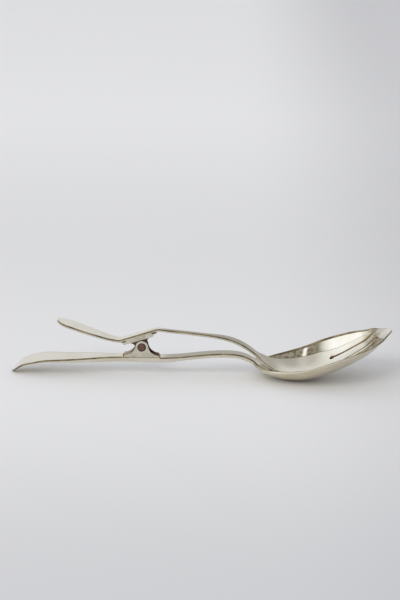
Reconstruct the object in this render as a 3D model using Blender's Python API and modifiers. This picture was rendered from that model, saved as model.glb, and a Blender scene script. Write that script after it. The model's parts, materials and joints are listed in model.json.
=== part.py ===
"""One-hand salad servers: a serving spoon and a slotted fork, hinged like tongs.

The spoon lies on the table on its handle tip and the belly of its bowl. The fork
nests in the bowl, and its thumb lever stands over the spoon's handle. Squeezing the
lever towards the handle turns the fork about the hinge pin and lifts it out.

Metres, +X towards the bowls, +Z up. Places along X are measured from the handle tip,
and the whole assembly is then centred over the world's origin.
"""

import math

import bmesh
import bpy
import numpy as np

# Spoon arm, along its length from the tip of the handle
HANDLE_LENGTH = 0.0763
SEAT_LENGTH = 0.0250
SHANK_LENGTH = 0.0647
BOWL_LENGTH = 0.0928

# Spoon arm, heights of its upper face above the table
SEAT_HEIGHT = 0.0136
HUMP_RISE = 0.0039
SPOON_TIP_HEIGHT = 0.0364

# Spoon arm, widths and thicknesses
HANDLE_WIDTH = 0.0226
HANDLE_END_LENGTH = 0.0200
HINGE_WIDTH = 0.0095
NECK_WIDTH = 0.0100
BOWL_WIDTH = 0.0616
BOWL_DISH = 0.0163
BOWL_FRONT_DISH = 0.0143
HANDLE_CROWN = 0.0005
HANDLE_TIP_THICKNESS = 0.0012
HANDLE_TIP_HEIGHT = 0.0010
SPOON_HINGE_THICKNESS = 0.0034
SPOON_SHANK_THICKNESS = 0.0027
SPOON_BOWL_THICKNESS = 0.0012

# Fork arm
LEVER_LENGTH = 0.0446
LEVER_RISE = 0.0119
LEVER_WIDTH = 0.0174
LEVER_END_LENGTH = 0.0075
LEVER_CROWN = 0.0003
LEVER_ROOT_WIDTH = 0.0082
FORK_SHANK_WIDTH = 0.0047
FORK_NECK_WIDTH = 0.0102
FORK_BOWL_WIDTH = 0.0434
FORK_THICKNESS = 0.0018
FORK_BOWL_THICKNESS = 0.0013
FORK_SHORTFALL = 0.0095
FORK_TIP_LIFT = 0.0020
NEST_START = 0.0180
NEST_GAP = 0.0004

# Fork tines
SLOT_PITCH = 0.0114
SLOT_TIP_PITCH = 0.0090
SLOT_WIDTH = 0.0018
SLOT_ROOT_DIAMETER = 0.0034
SLOT_DEPTH = 0.0313
TINE_TAPER_LENGTH = 0.0120
TINE_TIP_WIDTH = 0.0032

# Hinge
PIVOT_HEIGHT = 0.0207
FORK_SEAT_ANGLE = math.radians(17.9)
PIN_DIAMETER = 0.0053
PIN_PROUD = 0.0002
PIN_CHAMFER = 0.0004
PIN_GAP = 0.0003
LOWER_EAR_RADIUS = 0.0043
LOWER_EAR_HALF_FOOT = 0.0118
LOWER_EAR_THICKNESS = 0.0011
LOWER_BASE_THICKNESS = 0.0010
UPPER_EAR_RADIUS = 0.0041
UPPER_EAR_HALF_FOOT = 0.0080
UPPER_EAR_THICKNESS = 0.0009
UPPER_PLATE_LENGTH = 0.0230
UPPER_PLATE_WIDTH = 0.0080
UPPER_PLATE_THICKNESS = 0.0018
UPPER_PLATE_DROP = 0.0048
UPPER_PLATE_SLANT = 0.0022
EAR_GAP = 0.0003
BRAZE_GAP = 0.0001

# Closing spring, a torsion coil round the pin
SPRING_WIRE = 0.0008
SPRING_TURNS = 2
SPRING_LEG_LENGTH = 0.0080
SPRING_GAP = 0.0003

# Edges and cutting
EDGE_ROUND = 0.0005
ROUND_SHARE = 0.45
END_HALF_WIDTH = 0.0009
OVERRUN = 0.0030
WELD = 0.000005
SLOPE_STEP = 0.00002
MILLIMETRES = 1000
QUARTER_TURN = math.pi / 2
SHARP_ANGLE = math.radians(40)

# Facets
HANDLE_STATIONS = 15
SHANK_STATIONS = 14
BOWL_STATIONS = 27
LEVER_STATIONS = 15
FINE_PER_STATION = 40
ACROSS = 13  # odd, so that a flat strip runs along the middle and the bowl stands on it
CORNER_STEPS = 2
ARC_STEPS = 8
FLARE_STEPS = 4
PIN_SIDES = 32
CURL_POINTS = 9
WIRE_BEVEL_STEPS = 2

# Places that follow from the sizes above
SEAT_START = HANDLE_LENGTH
SEAT_END = SEAT_START + SEAT_LENGTH
SHOULDER = SEAT_END + SHANK_LENGTH
SPOON_TIP = SHOULDER + BOWL_LENGTH
FORK_TIP = SPOON_TIP - FORK_SHORTFALL
PIVOT = (SEAT_START + SEAT_END) / 2
HINGE_HALF_WIDTH = HINGE_WIDTH / 2
NEST = SHOULDER + NEST_START
LOWER_FOOT = PIVOT_HEIGHT - SEAT_HEIGHT - BRAZE_GAP
LOWER_BASE_TOP = LOWER_FOOT - LOWER_BASE_THICKNESS
LOWER_EAR_INNER = HINGE_HALF_WIDTH - LOWER_EAR_THICKNESS
UPPER_EAR_OUTER = LOWER_EAR_INNER - EAR_GAP
UPPER_EAR_INNER = UPPER_EAR_OUTER - UPPER_EAR_THICKNESS
SPRING_RADIUS = PIN_DIAMETER / 2 + SPRING_GAP + SPRING_WIRE / 2

# Outlines, as shares chosen by eye of the lengths and heights that they follow
HANDLE_LINE_SHARES = ((0.09, 0.54), (0.18, 0.73), (0.27, 0.845), (0.40, 0.885), (0.70, 0.945))
SHANK_LINE_SHARES = ((0.19, 0.17), (0.38, 0.56), (0.57, 0.90), (0.70, 1.0), (0.82, 0.89), (0.92, 0.45))
BOWL_LINE_SHARES = (
    (0.0, 0.318),
    (0.09, 0.155),
    (0.19, 0.045),
    (0.34, 0.0),
    (0.46, 0.060),
    (0.56, 0.157),
    (0.66, 0.281),
    (0.76, 0.434),
    (0.88, 0.688),
    (0.95, 0.917),
    (1.0, 1.0),
)
HANDLE_WIDTH_SHARES = (
    (0.0, 1.0),
    (0.25, 1.0),
    (0.36, 0.91),
    (0.48, 0.74),
    (0.62, 0.55),
    (0.74, 0.33),
    (0.87, 0.09),
)
LEVER_LINE_SHARES = ((1.0, 1.06), (0.85, 0.905), (0.60, 0.585), (0.34, 0.25), (0.21, 0.095), (0.12, 0.02))
LEVER_WIDTH_SHARES = ((1.0, 1.0), (0.72, 1.0), (0.55, 0.91), (0.42, 0.72), (0.28, 0.46), (0.12, 0.19))
FORK_LINE_SHARES = (
    (0.05, 0.998),
    (0.17, 0.960),
    (0.32, 0.918),
    (0.46, 0.873),
    (0.57, 0.818),
    (0.68, 0.690),
    (0.785, 0.470),
    (0.88, 0.213),
    (0.94, 0.078),
)
BELLY_THICKNESS_SHARE = 0.26
BOWL_WIDEST_SHARE = 0.506
DISH_START_SHARE = 0.88
DISH_END_SHARE = 0.17
TIP_FLAT_SHARE = 0.85
TIP_FLATTENING_SHARE = 0.85
POINT_START_SHARE = 0.72
NECK_SHARE = 0.95
THINNED_SHARE = 0.30
FORK_NARROWEST_SHARE = 0.20
FORK_WAIST_SHARE = 0.38
FORK_SEAT_SHARE = 1.06
TIP_LIFT_START_SHARE = 0.35
FORK_NARROWING_SHARE = 0.28

# Powers that shape the outlines of both bowls, their shoulders and the taper of the tines
BOWL_BACK_SHARE = 1.5
BOWL_FRONT_SHARE = 2.1
BOWL_POINT_SHARE = 0.95
SHOULDER_BLEND_SHARE = 4.0
FORK_BACK_SHARE = 1.9
FORK_SIDE_SHARE = 0.8
FORK_END_SHARE = 24
TINE_TAPER_SHARE = 1.5

BOWL_MIDDLE = SHOULDER + BOWL_WIDEST_SHARE * BOWL_LENGTH


def clear_scene():
    for item in list(bpy.data.objects):
        bpy.data.objects.remove(item, do_unlink=True)
    for mesh in list(bpy.data.meshes):
        bpy.data.meshes.remove(mesh)


def spline(points, start_slope=None, end_slope=None):
    """A cubic through every point whose slope and bend never jump, as a function of x."""
    x, z = np.array(sorted(points)).T
    step = np.diff(x)
    rise = np.diff(z) / step
    last = len(x) - 1
    system = np.zeros((last + 1, last + 1))
    target = np.zeros(last + 1)
    system[0, 0] = 1
    system[last, last] = 1
    if start_slope is not None:
        system[0, :2] = 2 * step[0], step[0]
        target[0] = 6 * (rise[0] - start_slope)
    if end_slope is not None:
        system[last, last - 1 :] = step[-1], 2 * step[-1]
        target[last] = 6 * (end_slope - rise[-1])
    for i in range(1, last):
        system[i, i - 1 : i + 2] = step[i - 1], 2 * (step[i - 1] + step[i]), step[i]
        target[i] = 6 * (rise[i] - rise[i - 1])
    bend = np.linalg.solve(system, target)

    def value(at):
        i = min(max(int(np.searchsorted(x, at)) - 1, 0), last - 1)
        to_end = (x[i + 1] - at) / step[i]
        from_start = (at - x[i]) / step[i]
        straight = to_end * z[i] + from_start * z[i + 1]
        curve_start = (to_end**3 - to_end) * bend[i]
        curve_end = (from_start**3 - from_start) * bend[i + 1]
        return straight + (curve_start + curve_end) * step[i] ** 2 / 6

    return value


def ramp(at, start, end):
    """0 before start, 1 after end, and a smooth change between them."""
    share = min(max((at - start) / (end - start), 0), 1)
    return share**3 * (share * (share * 6 - 15) + 10)


def slope_of(line, at):
    return (line(at + SLOPE_STEP) - line(at - SLOPE_STEP)) / (2 * SLOPE_STEP)


def handle_line():
    points = [(share * HANDLE_LENGTH, rise * SEAT_HEIGHT) for share, rise in HANDLE_LINE_SHARES]
    return spline(points + [(0, HANDLE_TIP_HEIGHT), (SEAT_START, SEAT_HEIGHT)], end_slope=0)


def shank_and_bowl_line():
    points = [(SEAT_END, SEAT_HEIGHT)]
    for share, rise in SHANK_LINE_SHARES:
        points.append((SEAT_END + share * SHANK_LENGTH, SEAT_HEIGHT + rise * HUMP_RISE))
    belly = SPOON_BOWL_THICKNESS + BELLY_THICKNESS_SHARE * (SPOON_SHANK_THICKNESS - SPOON_BOWL_THICKNESS)
    for share, rise in BOWL_LINE_SHARES:
        points.append((SHOULDER + share * BOWL_LENGTH, belly + rise * (SPOON_TIP_HEIGHT - belly)))
    return spline(points, start_slope=0)


HANDLE_LINE = handle_line()
BOWL_LINE = shank_and_bowl_line()


def spoon_line(x):
    """Height of the spoon's upper face along its middle, flat where the hinge stands."""
    if x < SEAT_START:
        return HANDLE_LINE(x)
    if x < SEAT_END:
        return SEAT_HEIGHT
    return BOWL_LINE(x)


def dish_across(x):
    """How fast both bowls rise to their sides: their sections are parabolas."""
    start = SEAT_END + DISH_START_SHARE * SHANK_LENGTH
    end = SHOULDER + DISH_END_SHARE * BOWL_LENGTH
    depth = BOWL_DISH + ramp(x, end, BOWL_MIDDLE) * (BOWL_FRONT_DISH - BOWL_DISH)
    flat = TIP_FLATTENING_SHARE * ramp(x, SHOULDER + TIP_FLAT_SHARE * BOWL_LENGTH, SPOON_TIP)
    return ramp(x, start, end) * (1 - flat) * depth / (BOWL_WIDTH / 2) ** 2


def spoon_surface(x, y):
    crown = (1 - ramp(x, 0, SEAT_START)) * HANDLE_CROWN / (HANDLE_WIDTH / 2) ** 2
    return spoon_line(x) + (dish_across(x) - crown) * y**2


def bowl_share(x, tip):
    """How far x lies from the bowl's widest place, as a share of the way to its end."""
    reach = tip - BOWL_MIDDLE if x > BOWL_MIDDLE else BOWL_MIDDLE - SHOULDER
    return min(abs(x - BOWL_MIDDLE) / reach, 1)


def spoon_outline(x):
    """Half width of the spoon's bowl, an egg shape from the shoulders to a point."""
    share = bowl_share(x, SPOON_TIP)
    front = BOWL_FRONT_SHARE + ramp(share, POINT_START_SHARE, 1) * (BOWL_POINT_SHARE - BOWL_FRONT_SHARE)
    power = front if x > BOWL_MIDDLE else BOWL_BACK_SHARE
    return BOWL_WIDTH / 2 * math.sqrt(1 - share**power)


def fork_outline(x):
    """Half width of the fork's bowl, whose sides run in gently to square tines."""
    share = bowl_share(x, FORK_TIP)
    if x < BOWL_MIDDLE:
        return FORK_BOWL_WIDTH / 2 * math.sqrt(1 - share**FORK_BACK_SHARE)
    side = 1 - FORK_NARROWING_SHARE * share**FORK_SIDE_SHARE
    return FORK_BOWL_WIDTH / 2 * side * math.sqrt(1 - share**FORK_END_SHARE)


def rounded_end(distance, length):
    """Share of the full width at a distance from a round end that is one length long."""
    share = min(max(distance / length, 0), 1)
    return math.sqrt(1 - (1 - share) ** 2)


def shank_half_width(x):
    neck = SEAT_END + NECK_SHARE * SHANK_LENGTH
    return HINGE_HALF_WIDTH + ramp(x, SEAT_END, neck) * (NECK_WIDTH - HINGE_WIDTH) / 2


def with_bowl(strip, bowl):
    """Widths of the shank and of the bowl, joined by a hollow shoulder."""
    power = SHOULDER_BLEND_SHARE
    return (strip**power + bowl**power) ** (1 / power)


def fading(strip, x, tip):
    """The shank's width, which dies away under the bowl so that the tip keeps its point."""
    return strip + ramp(x, BOWL_MIDDLE, tip) * (END_HALF_WIDTH - strip)


def widening(shares, length, wide, narrow):
    """Points of how much a grip is wider, each side, than its arm at the hinge."""
    return [(share * length, part * (wide - narrow) / 2) for share, part in shares]


HANDLE_EXTRA = spline(
    widening(HANDLE_WIDTH_SHARES, HANDLE_LENGTH, HANDLE_WIDTH, HINGE_WIDTH) + [(HANDLE_LENGTH, 0)],
    end_slope=0,
)
LEVER_EXTRA = spline(widening(LEVER_WIDTH_SHARES, LEVER_LENGTH, LEVER_WIDTH, LEVER_ROOT_WIDTH) + [(0, 0)])


def spoon_half_width(x):
    if x < SEAT_START:
        wide = HINGE_HALF_WIDTH + HANDLE_EXTRA(x)
        return max(wide * rounded_end(x, HANDLE_END_LENGTH), END_HALF_WIDTH)
    if x < SEAT_END:
        return HINGE_HALF_WIDTH
    strip = fading(shank_half_width(x), x, SPOON_TIP)
    return with_bowl(strip, spoon_outline(x))


def spoon_thickness(x):
    growing = ramp(x, 0, SEAT_START) * (SPOON_HINGE_THICKNESS - HANDLE_TIP_THICKNESS)
    neck = SEAT_END + NECK_SHARE * SHANK_LENGTH
    thinned = SEAT_END + THINNED_SHARE * SHANK_LENGTH
    to_shank = ramp(x, SEAT_END, thinned) * (SPOON_SHANK_THICKNESS - SPOON_HINGE_THICKNESS)
    to_bowl = ramp(x, neck, BOWL_MIDDLE) * (SPOON_BOWL_THICKNESS - SPOON_SHANK_THICKNESS)
    return HANDLE_TIP_THICKNESS + growing + to_shank + to_bowl


def fork_seat_point(along):
    """A point of the sloping underside over the hinge, by its distance from the pivot's foot."""
    lift = UPPER_PLATE_DROP + UPPER_PLATE_THICKNESS + BRAZE_GAP
    x = PIVOT + along * math.cos(FORK_SEAT_ANGLE) - lift * math.sin(FORK_SEAT_ANGLE)
    z = PIVOT_HEIGHT + along * math.sin(FORK_SEAT_ANGLE) + lift * math.cos(FORK_SEAT_ANGLE)
    return x, z


FORK_SEAT_HALF = FORK_SEAT_SHARE * UPPER_PLATE_LENGTH / 2
FORK_SEAT_START, LEVER_ROOT_HEIGHT = fork_seat_point(-FORK_SEAT_HALF)
FORK_SEAT_END, FORK_SHANK_HEIGHT = fork_seat_point(FORK_SEAT_HALF)
LEVER_END = FORK_SEAT_START - LEVER_LENGTH


def lever_line():
    points = [(FORK_SEAT_START, LEVER_ROOT_HEIGHT)]
    for share, rise in LEVER_LINE_SHARES:
        points.append((FORK_SEAT_START - share * LEVER_LENGTH, LEVER_ROOT_HEIGHT + rise * LEVER_RISE))
    return spline(points, end_slope=math.tan(FORK_SEAT_ANGLE))


def fork_shank_line():
    span = NEST - FORK_SEAT_END
    foot = spoon_line(NEST)
    points = [(FORK_SEAT_END, FORK_SHANK_HEIGHT), (NEST, foot)]
    for share, rise in FORK_LINE_SHARES:
        points.append((FORK_SEAT_END + share * span, foot + rise * (FORK_SHANK_HEIGHT - foot)))
    return spline(points, math.tan(FORK_SEAT_ANGLE), slope_of(spoon_line, NEST))


LEVER_LINE = lever_line()
FORK_SHANK_LINE = fork_shank_line()


def fork_line(x):
    """Height of the fork's underside along its middle, which lies on the spoon's bowl."""
    if x < FORK_SEAT_START:
        return LEVER_LINE(x)
    if x < FORK_SEAT_END:
        return LEVER_ROOT_HEIGHT + (x - FORK_SEAT_START) * math.tan(FORK_SEAT_ANGLE)
    if x < NEST:
        return FORK_SHANK_LINE(x)
    lift_start = NEST + TIP_LIFT_START_SHARE * (FORK_TIP - NEST)
    return spoon_line(x) + FORK_TIP_LIFT * ramp(x, lift_start, FORK_TIP)


def fork_surface(x, y):
    crown = (1 - ramp(x, LEVER_END, FORK_SEAT_START)) * LEVER_CROWN / (LEVER_WIDTH / 2) ** 2
    return fork_line(x) + (dish_across(x) - crown) * y**2


def fork_shank_half_width(x):
    """The arm narrows from the lever's root to its waist, then widens to the neck."""
    span = SHOULDER - FORK_SEAT_END
    narrowest = FORK_SEAT_END + FORK_NARROWEST_SHARE * span
    waist = FORK_SEAT_END + FORK_WAIST_SHARE * span
    neck = FORK_SEAT_END + NECK_SHARE * span
    narrowing = ramp(x, FORK_SEAT_START, narrowest) * (LEVER_ROOT_WIDTH - FORK_SHANK_WIDTH) / 2
    to_neck = ramp(x, waist, neck) * (FORK_NECK_WIDTH - FORK_SHANK_WIDTH) / 2
    return LEVER_ROOT_WIDTH / 2 - narrowing + to_neck


def fork_half_width(x):
    if x < FORK_SEAT_START:
        wide = LEVER_ROOT_WIDTH / 2 + LEVER_EXTRA(FORK_SEAT_START - x)
        return max(wide * rounded_end(x - LEVER_END, LEVER_END_LENGTH), END_HALF_WIDTH)
    strip = fading(fork_shank_half_width(x), x, FORK_TIP)
    return with_bowl(strip, fork_outline(x))


def fork_thickness(x):
    return FORK_THICKNESS + ramp(x, SHOULDER, NEST) * (FORK_BOWL_THICKNESS - FORK_THICKNESS)


def material(name, colour, roughness, metallic=1.0):
    made = bpy.data.materials.new(name)
    made.use_nodes = True
    shader = made.node_tree.nodes["Principled BSDF"]
    shader.inputs["Base Color"].default_value = (*colour, 1)
    shader.inputs["Roughness"].default_value = roughness
    shader.inputs["Metallic"].default_value = metallic
    return made


def add_mesh(shape, name, collection, finish=None):
    """A mesh object from a bmesh, with its faces pointing out."""
    bmesh.ops.recalc_face_normals(shape, faces=shape.faces)
    mesh = bpy.data.meshes.new(name)
    shape.to_mesh(mesh)
    shape.free()
    if finish is not None:
        mesh.materials.append(finish)
    made = bpy.data.objects.new(name, mesh)
    collection.objects.link(made)
    return made


def evenly_along(half_width, start, end, count):
    """Places from start to end that lie evenly along the edge of the outline."""
    fine = np.linspace(start, end, FINE_PER_STATION * count)
    edge = np.array([half_width(x) for x in fine])
    travel = np.concatenate([[0], np.cumsum(np.hypot(np.diff(fine), np.diff(edge)))])
    return list(np.interp(np.linspace(0, travel[-1], count + 1), travel, fine))


def section(half_width, thickness):
    """One ring across a strip as (across, depth), round at its corners."""
    corner = min(EDGE_ROUND, ROUND_SHARE * thickness, ROUND_SHARE * half_width)
    flat = half_width - corner
    upper = [(flat * share, 0) for share in np.linspace(-1, 1, ACROSS + 1)]
    side = []
    for angle in np.linspace(0, QUARTER_TURN, CORNER_STEPS + 1)[1:]:
        side.append((flat + corner * math.sin(angle), corner * (1 - math.cos(angle))))
    side += [(across, thickness - depth) for across, depth in reversed(side)]
    lower = [(across, thickness) for across, _ in reversed(upper)]
    other_side = [(-across, depth) for across, depth in reversed(side)]
    return upper + side + lower + other_side


def place(x, across, depth, surface):
    """A point at a depth square to the surface, which is negative above it."""
    along = (surface(x + SLOPE_STEP, across) - surface(x - SLOPE_STEP, across)) / (2 * SLOPE_STEP)
    sideways = (surface(x, across + SLOPE_STEP) - surface(x, across - SLOPE_STEP)) / (2 * SLOPE_STEP)
    normal = np.array([-along, -sideways, 1])
    normal /= np.linalg.norm(normal)
    return np.array([x, across, surface(x, across)]) - depth * normal


def cap(shape, ring):
    """Closes the end of a strip with cross bars, because its long sides are almost straight."""
    below = len(ring) // 2
    for i in range(ACROSS):
        j = below + ACROSS - i
        shape.faces.new((ring[i], ring[i + 1], ring[j - 1], ring[j]))
    shape.faces.new(ring[ACROSS : below + 1])
    shape.faces.new(ring[below + ACROSS :] + ring[:1])


def lofted_strip(name, stations, form, gap, metal_above, collection, finish):
    """A strip of metal lofted through its stations, on one side of a surface.

    form holds its half width and thickness along X, and the surface that it follows.
    """
    half_width, thickness, surface = form
    shape = bmesh.new()
    rings = []
    for x in stations:
        ring = []
        for across, depth in section(half_width(x), thickness(x)):
            level = -(gap + depth) if metal_above else gap + depth
            ring.append(shape.verts.new(place(x, across, level, surface)))
        rings.append(ring)
    for first, second in zip(rings, rings[1:]):
        for i in range(len(first)):
            j = (i + 1) % len(first)
            shape.faces.new((first[i], first[j], second[j], second[i]))
    cap(shape, rings[0])
    cap(shape, rings[-1])
    made = add_mesh(shape, name, collection, finish)
    made.data.shade_smooth()
    made.data.set_sharp_from_angle(angle=SHARP_ANGLE)
    return made


def make_spoon_arm(collection, finish):
    handle = evenly_along(spoon_half_width, 0, SEAT_START, HANDLE_STATIONS)
    shank = list(np.linspace(SEAT_END, SHOULDER, SHANK_STATIONS))
    bowl = evenly_along(spoon_half_width, SHOULDER, SPOON_TIP, BOWL_STATIONS)
    stations = handle + shank + bowl[1:]
    form = (spoon_half_width, spoon_thickness, spoon_surface)
    return lofted_strip("spoon_arm", stations, form, 0, False, collection, finish)


def slot_outline(number):
    """A keyhole slot seen from above: a round root, a slit, and a mouth that tapers the tines.

    The slots lie side by side, numbered from the middle one, and draw together at the tips.
    """
    root = FORK_TIP - SLOT_DEPTH + SLOT_ROOT_DIAMETER / 2
    middle = number * SLOT_PITCH
    drawn_in = number * (SLOT_TIP_PITCH - SLOT_PITCH)
    radius = SLOT_ROOT_DIAMETER / 2
    slit = SLOT_WIDTH / 2
    mouth = (SLOT_TIP_PITCH - TINE_TIP_WIDTH) / 2
    meeting = math.asin(slit / radius)
    points = []
    for angle in np.linspace(meeting, 2 * math.pi - meeting, 2 * ARC_STEPS):
        points.append((root + radius * math.cos(angle), middle + radius * math.sin(angle)))
    flare = []
    for share in np.linspace(0, 1, FLARE_STEPS):
        x = FORK_TIP - TINE_TAPER_LENGTH * (1 - share)
        flare.append((x, slit + (mouth - slit) * share**TINE_TAPER_SHARE))
    flare.append((FORK_TIP + OVERRUN, mouth))
    points += [(x, middle - half) for x, half in flare]
    points += [(x, middle + half) for x, half in reversed(flare)]
    return [(x, y + drawn_in * max((x - root) / (FORK_TIP - root), 0)) for x, y in points]


def flat_solid(name, outline, thickness, collection, finish=None):
    """A flat outline made solid: a filled 2D curve, as a mesh with its caps welded on."""
    curve = bpy.data.curves.new(name, "CURVE")
    curve.dimensions = "2D"
    curve.fill_mode = "BOTH"
    curve.extrude = thickness / 2
    line = curve.splines.new("POLY")
    line.points.add(len(outline) - 1)
    for point, (x, y) in zip(line.points, outline):
        point.co = (x, y, 0, 1)
    line.use_cyclic_u = True
    guide = bpy.data.objects.new(name, curve)
    collection.objects.link(guide)
    graph = bpy.context.evaluated_depsgraph_get()
    shape = bmesh.new()
    shape.from_mesh(guide.evaluated_get(graph).to_mesh())
    bpy.data.objects.remove(guide, do_unlink=True)
    bpy.data.curves.remove(curve)
    bmesh.ops.remove_doubles(shape, verts=shape.verts, dist=WELD)
    return add_mesh(shape, name, collection, finish)


def turned(name, profile, sides, collection, finish=None):
    """A profile of (radius, height) turned about Z."""
    shape = bmesh.new()
    points = [shape.verts.new((radius, 0, height)) for radius, height in profile]
    for first, second in zip(points, points[1:]):
        shape.edges.new((first, second))
    mesh = bpy.data.meshes.new(name)
    shape.to_mesh(mesh)
    shape.free()
    if finish is not None:
        mesh.materials.append(finish)
    made = bpy.data.objects.new(name, mesh)
    collection.objects.link(made)
    spin = made.modifiers.new("turn", "SCREW")
    spin.axis = "Z"
    spin.steps = sides
    spin.render_steps = sides
    spin.use_merge_vertices = True
    spin.merge_threshold = WELD
    spin.use_smooth_shade = True
    return made


def cut(body, cutter, name, operation="DIFFERENCE"):
    change = body.modifiers.new(name, "BOOLEAN")
    change.operation = operation
    change.solver = "EXACT"
    change.object = cutter
    cutter.hide_render = True
    cutter.display_type = "WIRE"


def make_fork_arm(collection, cutters, finish):
    lever = evenly_along(fork_half_width, LEVER_END, FORK_SEAT_START, LEVER_STATIONS)
    shank = list(np.linspace(FORK_SEAT_END, SHOULDER, SHANK_STATIONS))
    bowl = evenly_along(fork_half_width, SHOULDER, FORK_TIP, BOWL_STATIONS)
    stations = lever + shank + bowl[1:]
    form = (fork_half_width, fork_thickness, fork_surface)
    arm = lofted_strip("fork_arm", stations, form, NEST_GAP, True, collection, finish)
    slots = []
    for name, number in (("near", -1), ("middle", 0), ("far", 1)):
        outline = slot_outline(number)
        cutter = flat_solid(f"{name}_slot_cutter", outline, 2 * SPOON_TIP_HEIGHT, cutters)
        cutter.location.z = SPOON_TIP_HEIGHT
        cut(arm, cutter, f"{name}_slot")
        slots.append(cutter)
    return arm, slots


def bell_outline(radius, half_foot, foot, toe):
    """Bell about the pivot: a round head, and hollow flanks that run out level at the toes.

    foot is how far the bell's base lies below the pivot, and toe the height of its ends.
    """
    level = foot - toe
    flank = (half_foot**2 + level**2 - radius**2) / (2 * (level + radius))
    rise = flank - level
    lean = math.atan2(rise, half_foot)
    right = [(half_foot, -foot)]
    for angle in np.linspace(3 * QUARTER_TURN, 2 * QUARTER_TURN + lean, ARC_STEPS):
        right.append((half_foot + flank * math.cos(angle), rise + flank * math.sin(angle)))
    head = []
    for angle in np.linspace(lean, math.pi - lean, 2 * ARC_STEPS)[1:-1]:
        head.append((radius * math.cos(angle), radius * math.sin(angle)))
    return right + head + [(-x, z) for x, z in reversed(right)]


def box_outline(left, right, bottom, top):
    return [(left, bottom), (right, bottom), (right, top), (left, top)]


def bore_cutter(name, cutters):
    half = HINGE_HALF_WIDTH + OVERRUN
    radius = PIN_DIAMETER / 2 + PIN_GAP
    return turned(name, [(0, half), (radius, half), (radius, -half), (0, -half)], PIN_SIDES, cutters)


def make_lower_yoke(collection, cutters, finish):
    """A folded saddle, brazed on the spoon arm: two bell shaped ears on one base."""
    bell = bell_outline(LOWER_EAR_RADIUS, LOWER_EAR_HALF_FOOT, LOWER_FOOT, LOWER_BASE_THICKNESS)
    yoke = flat_solid("lower_yoke", bell, HINGE_WIDTH, collection, finish)
    reach = LOWER_EAR_HALF_FOOT + OVERRUN
    channel = box_outline(-reach, reach, -LOWER_BASE_TOP, LOWER_EAR_RADIUS + OVERRUN)
    between = flat_solid("lower_channel_cutter", channel, 2 * LOWER_EAR_INNER, cutters)
    bore = bore_cutter("lower_bore_cutter", cutters)
    cut(yoke, between, "channel")
    cut(yoke, bore, "bore")
    return yoke, between, bore


def make_upper_yoke(collection, cutters, finish):
    """The plate brazed under the fork arm, with two ears that hang inside the lower ones."""
    half = UPPER_PLATE_LENGTH / 2
    top = UPPER_PLATE_DROP + UPPER_PLATE_THICKNESS
    under = half - UPPER_PLATE_SLANT
    plate = [(-half, UPPER_PLATE_DROP), (under, UPPER_PLATE_DROP), (half, top), (-half, top)]
    yoke = flat_solid("upper_yoke", plate, UPPER_PLATE_WIDTH, collection, finish)
    sunk = UPPER_PLATE_THICKNESS / 2
    bell = bell_outline(UPPER_EAR_RADIUS, UPPER_EAR_HALF_FOOT, UPPER_PLATE_DROP + sunk, sunk)
    hanging = [(-x, -z) for x, z in bell]
    ears = flat_solid("upper_ears_cutter", hanging, 2 * UPPER_EAR_OUTER, cutters)
    reach = UPPER_EAR_HALF_FOOT + OVERRUN
    channel = box_outline(-reach, reach, -UPPER_EAR_RADIUS - OVERRUN, UPPER_PLATE_DROP)
    between = flat_solid("upper_channel_cutter", channel, 2 * UPPER_EAR_INNER, cutters)
    bore = bore_cutter("upper_bore_cutter", cutters)
    cut(yoke, ears, "ears", "UNION")
    cut(yoke, between, "channel")
    cut(yoke, bore, "bore")
    return yoke, ears, between, bore


def make_hinge_pin(collection, finish):
    half = HINGE_HALF_WIDTH + PIN_PROUD
    radius = PIN_DIAMETER / 2
    inner = radius - PIN_CHAMFER
    shoulder = half - PIN_CHAMFER
    upper = [(0, half), (inner, half), (radius, shoulder)]
    lower = [(across, -height) for across, height in reversed(upper)]
    return turned("hinge_pin", upper + lower, PIN_SIDES, collection, finish)


def leg_angle(reach):
    """The angle at which a straight leg leaves the coil, so that its end lies level with a wall.

    reach is the distance from the pin's axis to the leg's end, square to the wall.
    """
    to_end = math.hypot(SPRING_RADIUS, SPRING_LEG_LENGTH)
    return math.atan2(SPRING_LEG_LENGTH, SPRING_RADIUS) - math.acos(reach / to_end)


def spring_path():
    """The coil's centre line about the pin, with one leg on the base and one under the plate."""
    clear = SPRING_WIRE / 2 + SPRING_GAP
    start = leg_angle(LOWER_BASE_TOP - clear) - QUARTER_TURN
    end = QUARTER_TURN - leg_angle(UPPER_PLATE_DROP - clear) + FORK_SEAT_ANGLE
    sweep = end - start + 2 * math.pi * SPRING_TURNS
    half = UPPER_EAR_INNER - clear
    count = round(CURL_POINTS * sweep / (2 * math.pi))
    path = []
    for share in np.linspace(0, 1, count + 1):
        angle = start + share * sweep
        across = half * (2 * share - 1)
        path.append((SPRING_RADIUS * math.cos(angle), across, SPRING_RADIUS * math.sin(angle)))
    first = np.array(path[0]) - SPRING_LEG_LENGTH * np.array([-math.sin(start), 0, math.cos(start)])
    last = np.array(path[-1]) + SPRING_LEG_LENGTH * np.array([-math.sin(end), 0, math.cos(end)])
    return [tuple(first)] + path + [tuple(last)]


def least_gap(path):
    """The smallest gap between one turn of the coil and the next, measured on its points."""
    points = np.array(path[1:-1])
    apart = [
        np.linalg.norm(points[i] - points[j])
        for i in range(len(points))
        for j in range(i + CURL_POINTS // 2, len(points))
    ]
    return min(apart) - SPRING_WIRE


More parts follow.
